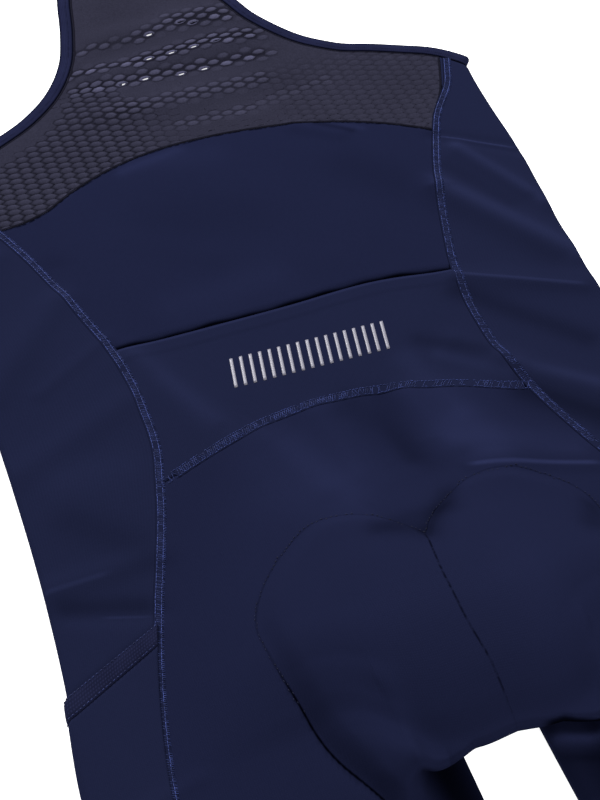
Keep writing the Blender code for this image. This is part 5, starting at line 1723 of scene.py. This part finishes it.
def strap_edge_outline(side):
    """Closed outline of a strap in the flat cut, against the clock."""
    runs = np.linspace(YOKE_TOP_UP + SEAM_GAP, front_end(), 300)
    inner, outer = strap_edges(side, runs)
    right = np.stack([outer, runs], 1)
    left = np.stack([inner, runs], 1)
    edge = np.concatenate([right, left[::-1]])
    return edge if side > 0 else (edge*np.array([-1.0, 1.0]))[::-1]


def net_panel(names, edge, place, look, rows, node):
    """A net panel and the strip that hems it, from its closed outline in the flat cut."""
    pitch = in_mm(cloth().net_across), in_mm(cloth().net_along)
    piece = net_mesh(names[0], even(edge, NET_EDGE_STEP), place, look, rows, pitch, CLOTH)
    merge_close(piece)
    dress(piece, net_yarn(), "net", node)
    hem = hem_strip(names[1], even(edge, HEM_STEP), HEM_WIDTH, place)
    dress(hem, finish_of("net hem", knit, scaled(cloth().net_colour, 0.4)), "net")


class BIB_OT_net(bpy.types.Operator):
    """Net yoke and net straps, with their holes"""
    bl_idname = "bib.net"
    bl_label = "Net yoke and straps"

    def execute(self, context):
        net_panel(("yoke_net", "yoke_hem"), yoke_edge(), layer_place, net_look, yoke_rows, "yoke")
        for side, word in SIDES:
            names = f"strap_net_{word}", f"strap_hem_{word}"
            net_panel(names, strap_edge_outline(side), strap_place, strap_look, strap_rows,
                      f"strap_{word}")
        return {"FINISHED"}


class BIB_OT_tapes(bpy.types.Operator):
    """Folded elastic tapes round the armholes and the neck"""
    bl_idname = "bib.tapes"
    bl_label = "Armhole and neck tapes"

    def execute(self, context):
        for side, word in SIDES:
            edge, normals = armhole_edge(side)
            piece = tape_round(f"armhole_tape_{word}", edge, normals, side)
            dress(piece, trim(), "trim", f"armhole_binding_{word}")
        edge, normals = neck_edge()
        piece = tape_round("neck_tape", edge, normals)
        dress(piece, trim(), "trim", "neck_binding")
        return {"FINISHED"}


def pocket_mouth(turns, side):
    """Place of the leg pocket's mouth on each column round the side, falling round the leg."""
    up = np.full(len(turns), LEG_POCKET_MOUTH_UP)
    for _ in range(SOLVE_STEPS):
        across, height = side_section(up, turns, side, LEG_LIFT)
        steps = np.hypot(np.diff(across), np.diff(height))
        up = LEG_POCKET_MOUTH_UP - LEG_POCKET_SLOPE*np.concatenate([[0.0], np.cumsum(steps)])
    return up


def on_side(name, ups, turns, side, thickness, roll):
    """A layer on the side panel at the heights ups: its piece, its outer face and its normals."""
    points = facing_out(side_place(ups, turns[None], side), side)
    normals = grid_normals(points)
    outer = points + np.asarray(PLY_GAP + thickness)[..., None]*normals
    outer[..., 2] = np.maximum(outer[..., 2], 0.0)
    return wall(name, outer, None, inner=points + PLY_GAP*normals, roll=roll), outer, normals


class BIB_OT_leg_pockets(bpy.types.Operator):
    """Leg pockets round the thighs, with ribbed elastic at their mouths"""
    bl_idname = "bib.leg_pockets"
    bl_label = "Leg pockets"

    def execute(self, context):
        turns = fine_turns()
        for side, word in SIDES:
            mouth = pocket_mouth(turns, side)[None]
            part = np.linspace(0.0, 1.0, LEG_POCKET_ROWS)[:, None]
            ups = (1 - part)*LEG_POCKET_UP + part*(mouth - SEAM_GAP)
            piece = on_side(f"leg_pocket_cloth_{word}", ups, turns, side, CLOTH, 0.2)[0]
            dress(piece, side_knit(), "side_knit", f"leg_pocket_{word}")
            part = np.linspace(0.0, 1.0, POCKET_BAND_ROWS)[:, None]
            ups = mouth + part*POCKET_BAND_WIDTH
            round_off = POCKET_BAND*(1 - 0.5*np.abs(2*part - 1)**4)
            band, outer, normals = on_side(f"leg_pocket_band_{word}", ups, turns, side, round_off,
                                           0.1)
            dress(band, ribbed(), "trim", f"pocket_band_{word}")
            sewn = [stitches_on(outer[row], normals[row], 2.4, seed=41 + row)
                    for row in SEWN_ROWS]
            lines, facing = (np.concatenate(part) for part in zip(*sewn))
            piece = tubes(f"leg_pocket_thread_{word}", lines, in_mm(cloth().thread_radius),
                          normals=facing)
            dress(piece, finish_of("faded thread", thread, scaled(cloth().thread_colour, 0.5)),
                  "trim")
        return {"FINISHED"}


class BIB_OT_leg_bands(bpy.types.Operator):
    """Elastic bands at the leg hems"""
    bl_idname = "bib.leg_bands"
    bl_label = "Leg bands"

    def execute(self, context):
        radius = BODY_HEIGHT/2.0
        ups = np.linspace(HEM_UP, HEM_SEAM_UP - SEAM_GAP, LEG_BAND_ROWS)
        for side, word in SIDES:
            low, high = inseam(ups)[:, None] + radius, side_fold(ups, side)[:, None] - radius
            run = np.linspace(0.0, 1.0, LEG_BAND_COLUMNS)[None, :-1]
            turn = np.linspace(np.pi/2, -np.pi/2, LEG_BAND_TURNS)[None, :-1]
            top = low + (high - low)*run
            outer_fold = high + radius*np.cos(turn)
            inner_fold = low - radius*np.cos(turn)
            bottom = high + (low - high)*run
            across = np.concatenate([top, outer_fold, bottom, inner_fold], axis=1)
            lift = np.concatenate([2*radius + 0*run, radius*(1 + np.sin(turn)), 0*run,
                                   radius*(1 - np.sin(turn))], axis=1)
            height = lift + 0*across
            up = ups[:, None] + 0*across
            points = facing_out(np.stack([side*across, up, height], -1), side)
            piece = wall(f"leg_band_cloth_{word}", points, CLOTH, wrap=True)
            dress(piece, ribbed(), "trim", f"leg_band_{word}")
        return {"FINISHED"}


class BIB_OT_sewing(bpy.types.Operator):
    """Flat seams and the pad's stitching"""
    bl_idname = "bib.sewing"
    bl_label = "Sewing"

    def execute(self, context):
        stitch = in_mm(cloth().stitch)
        radius = in_mm(cloth().thread_radius)
        seam_cloth = finish_of("seam knit", knit, scaled(cloth().side_colour, 0.95))
        for side, word in SIDES:
            line = side_line(side, HEM_SEAM_UP + 1, seam_top(SIDE_SEAM, side) - 3)
            if side > 0:
                line[:, 0] += SEAM_STEP*ease(line[:, 1], 474, 516)
            # painted shade along the tape's edges
            tape = tape_on(f"side_seam_tape_{word}", line, 3.2, SEWING_LIFT,
                           dark=(0.4, 0.5) if side < 0 else (0.8, 0.2))
            dress(tape, seam_cloth, "side_knit")
            wide = 1.5
            inner = stitches(line, (wide, -wide), stitch, share=1.04, lift=0.4, sway=0.06,
                             seed=5 + side, missed=0.04 if side < 0 else 0.35)
            ticks = rungs(line, -3.0, -1.3, 1.15, slant=0.5, seed=7 + side, gaps=0.1, lift=0.28,
                          clump=0.25)
            cross = rungs(line, -1.5, 1.5, 1.3, slant=0.7, seed=9 + side, gaps=0.2, lift=0.14,
                          clump=0.35)
            share = 1.18 if side < 0 else 0.95
            groups = [(inner, 0.9*share*radius), (ticks, 0.42*share*radius),
                      (cross, 0.36*share*radius)]
            if side > 0:
                top = line[line[:, 1] > 404]
                groups.append((stitches(top, (wide, -wide), 1.6, share=1.1, lift=0.45, sway=0.05,
                                        seed=15), 1.05*radius))
            piece = tubes(f"side_seam_thread_{word}", *padded_rows(groups))
            dress(piece, sewing(), "trim")
        line = seam_line(WAIST_SEAM, WAIST_GAP/2)
        # painted shade along the waist tape's edges, most on its lower edge
        tape = tape_on("waist_seam_tape", line, 3.6, SEWING_LIFT, dark=(0.3, 0.95), start=11.0,
                       end=4.0)
        dress(tape, seam_cloth, "side_knit")
        rows = stitches(line, (2.8, -1.9), 1.9, share=0.95, lift=0.45, seed=11, fade=16.0,
                        missed=0.12)
        cross = rungs(line, -1.9, 2.7, 1.25, slant=1.4, lift=0.34, seed=12, gaps=0.05, fade=20.0,
                      clump=0.2, thin=0.6)
        back = rungs(line, -1.7, 2.6, 1.45, slant=-1.0, lift=0.3, seed=13, gaps=0.15, fade=20.0,
                     clump=0.3, thin=0.75)
        piece = tubes("waist_seam_thread", *padded_rows([
            (rows, 0.6*radius), (cross, 0.46*radius), (back, 0.4*radius)]))
        dress(piece, sewing(), "trim")
        pad = outline(PAD_OUTLINE + PAD_OUTLINE[:1], 900)
        low = pad[:, 1] < 66.0
        pad = np.roll(pad, -int(np.flatnonzero(low)[-1]) - 1, axis=0)[:int((~low).sum())]
        rows = stitches(pad, (0.0,), 2.6, share=0.4, lift=0.2, sway=0.45, seed=21, missed=0.2)
        piece = tubes("pad_thread", rows, radius)
        dress(piece, finish_of("dark thread", thread, scaled(cloth().knit_colour, 0.9)), "trim")
        return {"FINISHED"}


class BIB_OT_print(bpy.types.Operator):
    """Plain row of reflective dashes on the back pocket"""
    bl_idname = "bib.print"
    bl_label = "Reflective dashes"

    def execute(self, context):
        count, wide, tall, slant = 17, 1.9, 22.0, 4.0
        reach, top = 45.0, 313.0
        u = np.linspace(-0.5, 0.5, 5)[None]
        v = np.linspace(-0.5, 0.5, 15)[:, None]
        pieces = []
        for number in range(count):
            middle = -reach + 2*reach*number/(count - 1)
            across = middle + wide*u + slant*v
            up = top + tall*(v - 0.5) + 0*u
            points = on_layer(across, up, 0.28)
            pieces.append(wall(f"dash_{number}", points, None, inner=on_layer(across, up, -0.1),
                               roll=0.08))
        piece = join("pocket_dashes", pieces)
        dress(piece, finish_of("reflective print", reflective, cloth().print_colour), "trim")
        return {"FINISHED"}


class BIB_OT_stage(bpy.types.Operator):
    """Pale floor, soft light and the camera"""
    bl_idname = "bib.stage"
    bl_label = "Stage"

    def execute(self, context):
        stage = context.scene.bib_stage
        side, drop = 6000.0, 0.15
        grid = np.stack(np.meshgrid([-side, side], [-side, side], indexing="ij"), -1)
        corners = grid.transpose(1, 0, 2).reshape(-1, 2)
        points = np.concatenate([corners, np.full((4, 1), -drop)], 1)
        floor = new_mesh("floor", points, np.array([[0, 1, 3, 2]]))
        floor.data.materials.append(finish_of("floor", pale, stage.floor_colour, stage.floor_glow))
        world = bpy.data.worlds.new("studio")
        world.use_nodes = True
        world.node_tree.nodes["Background"].inputs["Color"].default_value = (1, 1, 1, 1)
        world.node_tree.nodes["Background"].inputs["Strength"].default_value = stage.sky
        context.scene.world = world
        for name, place, size, power in (("key", (-0.15, 2.0, 1.3), 1.3, stage.key),
                                        ("fill", (0.9, -1.6, 1.2), 1.2, stage.fill)):
            data = bpy.data.lights.new(name, "AREA")
            data.shape = "SQUARE"
            data.size = size
            data.energy = power
            lamp = bpy.data.objects.new(name, data)
            lamp.location = place
            lamp.rotation_euler = (-Vector(place)).to_track_quat("-Z", "Y").to_euler()
            context.scene.collection.objects.link(lamp)
        data = bpy.data.cameras.new("camera")
        data.lens = stage.lens
        data.sensor_width = 36.0
        data.clip_start = 0.01
        camera = bpy.data.objects.new("camera", data)
        turn, down = stage.heading, stage.pitch
        ahead = Vector((math.sin(turn)*math.cos(down), math.cos(turn)*math.cos(down), -math.sin(down)))
        right = Vector((math.cos(turn), -math.sin(turn), 0.0))
        above = right.cross(ahead)
        camera.matrix_world = Matrix.Translation(stage.eye) @ Matrix(
            (right, above, -ahead)).transposed().to_4x4()
        context.scene.collection.objects.link(camera)
        context.scene.camera = camera
        context.scene.view_settings.view_transform = "Standard"
        return {"FINISHED"}


class BIB_PT_panel(bpy.types.Panel):
    """Lists the pieces and their settings"""
    bl_idname = "BIB_PT_panel"
    bl_label = "Bib shorts"
    bl_space_type = "VIEW_3D"
    bl_region_type = "UI"
    bl_category = "Bib shorts"

    def draw(self, context):
        for group in (context.scene.bib_cloth, context.scene.bib_stage):
            box = self.layout.box()
            for name in group.__annotations__:
                box.prop(group, name)
        for operator in OPERATORS:
            self.layout.operator(operator.bl_idname)


OPERATORS = (BIB_OT_front, BIB_OT_pad, BIB_OT_seat, BIB_OT_sides, BIB_OT_back, BIB_OT_net,
             BIB_OT_tapes, BIB_OT_leg_pockets, BIB_OT_leg_bands, BIB_OT_sewing, BIB_OT_print,
             BIB_OT_stage)
CLASSES = (ClothSettings, StageSettings) + OPERATORS + (BIB_PT_panel,)


def register():
    for item in CLASSES:
        bpy.utils.register_class(item)
    bpy.types.Scene.bib_cloth = bpy.props.PointerProperty(type=ClothSettings)
    bpy.types.Scene.bib_stage = bpy.props.PointerProperty(type=StageSettings)


def unregister():
    del bpy.types.Scene.bib_stage
    del bpy.types.Scene.bib_cloth
    for item in reversed(CLASSES):
        bpy.utils.unregister_class(item)


def main():
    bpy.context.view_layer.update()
    register()
    for operator in OPERATORS:
        group, name = operator.bl_idname.split(".")
        getattr(getattr(bpy.ops, group), name)()


if __name__ == "__main__":
    main()
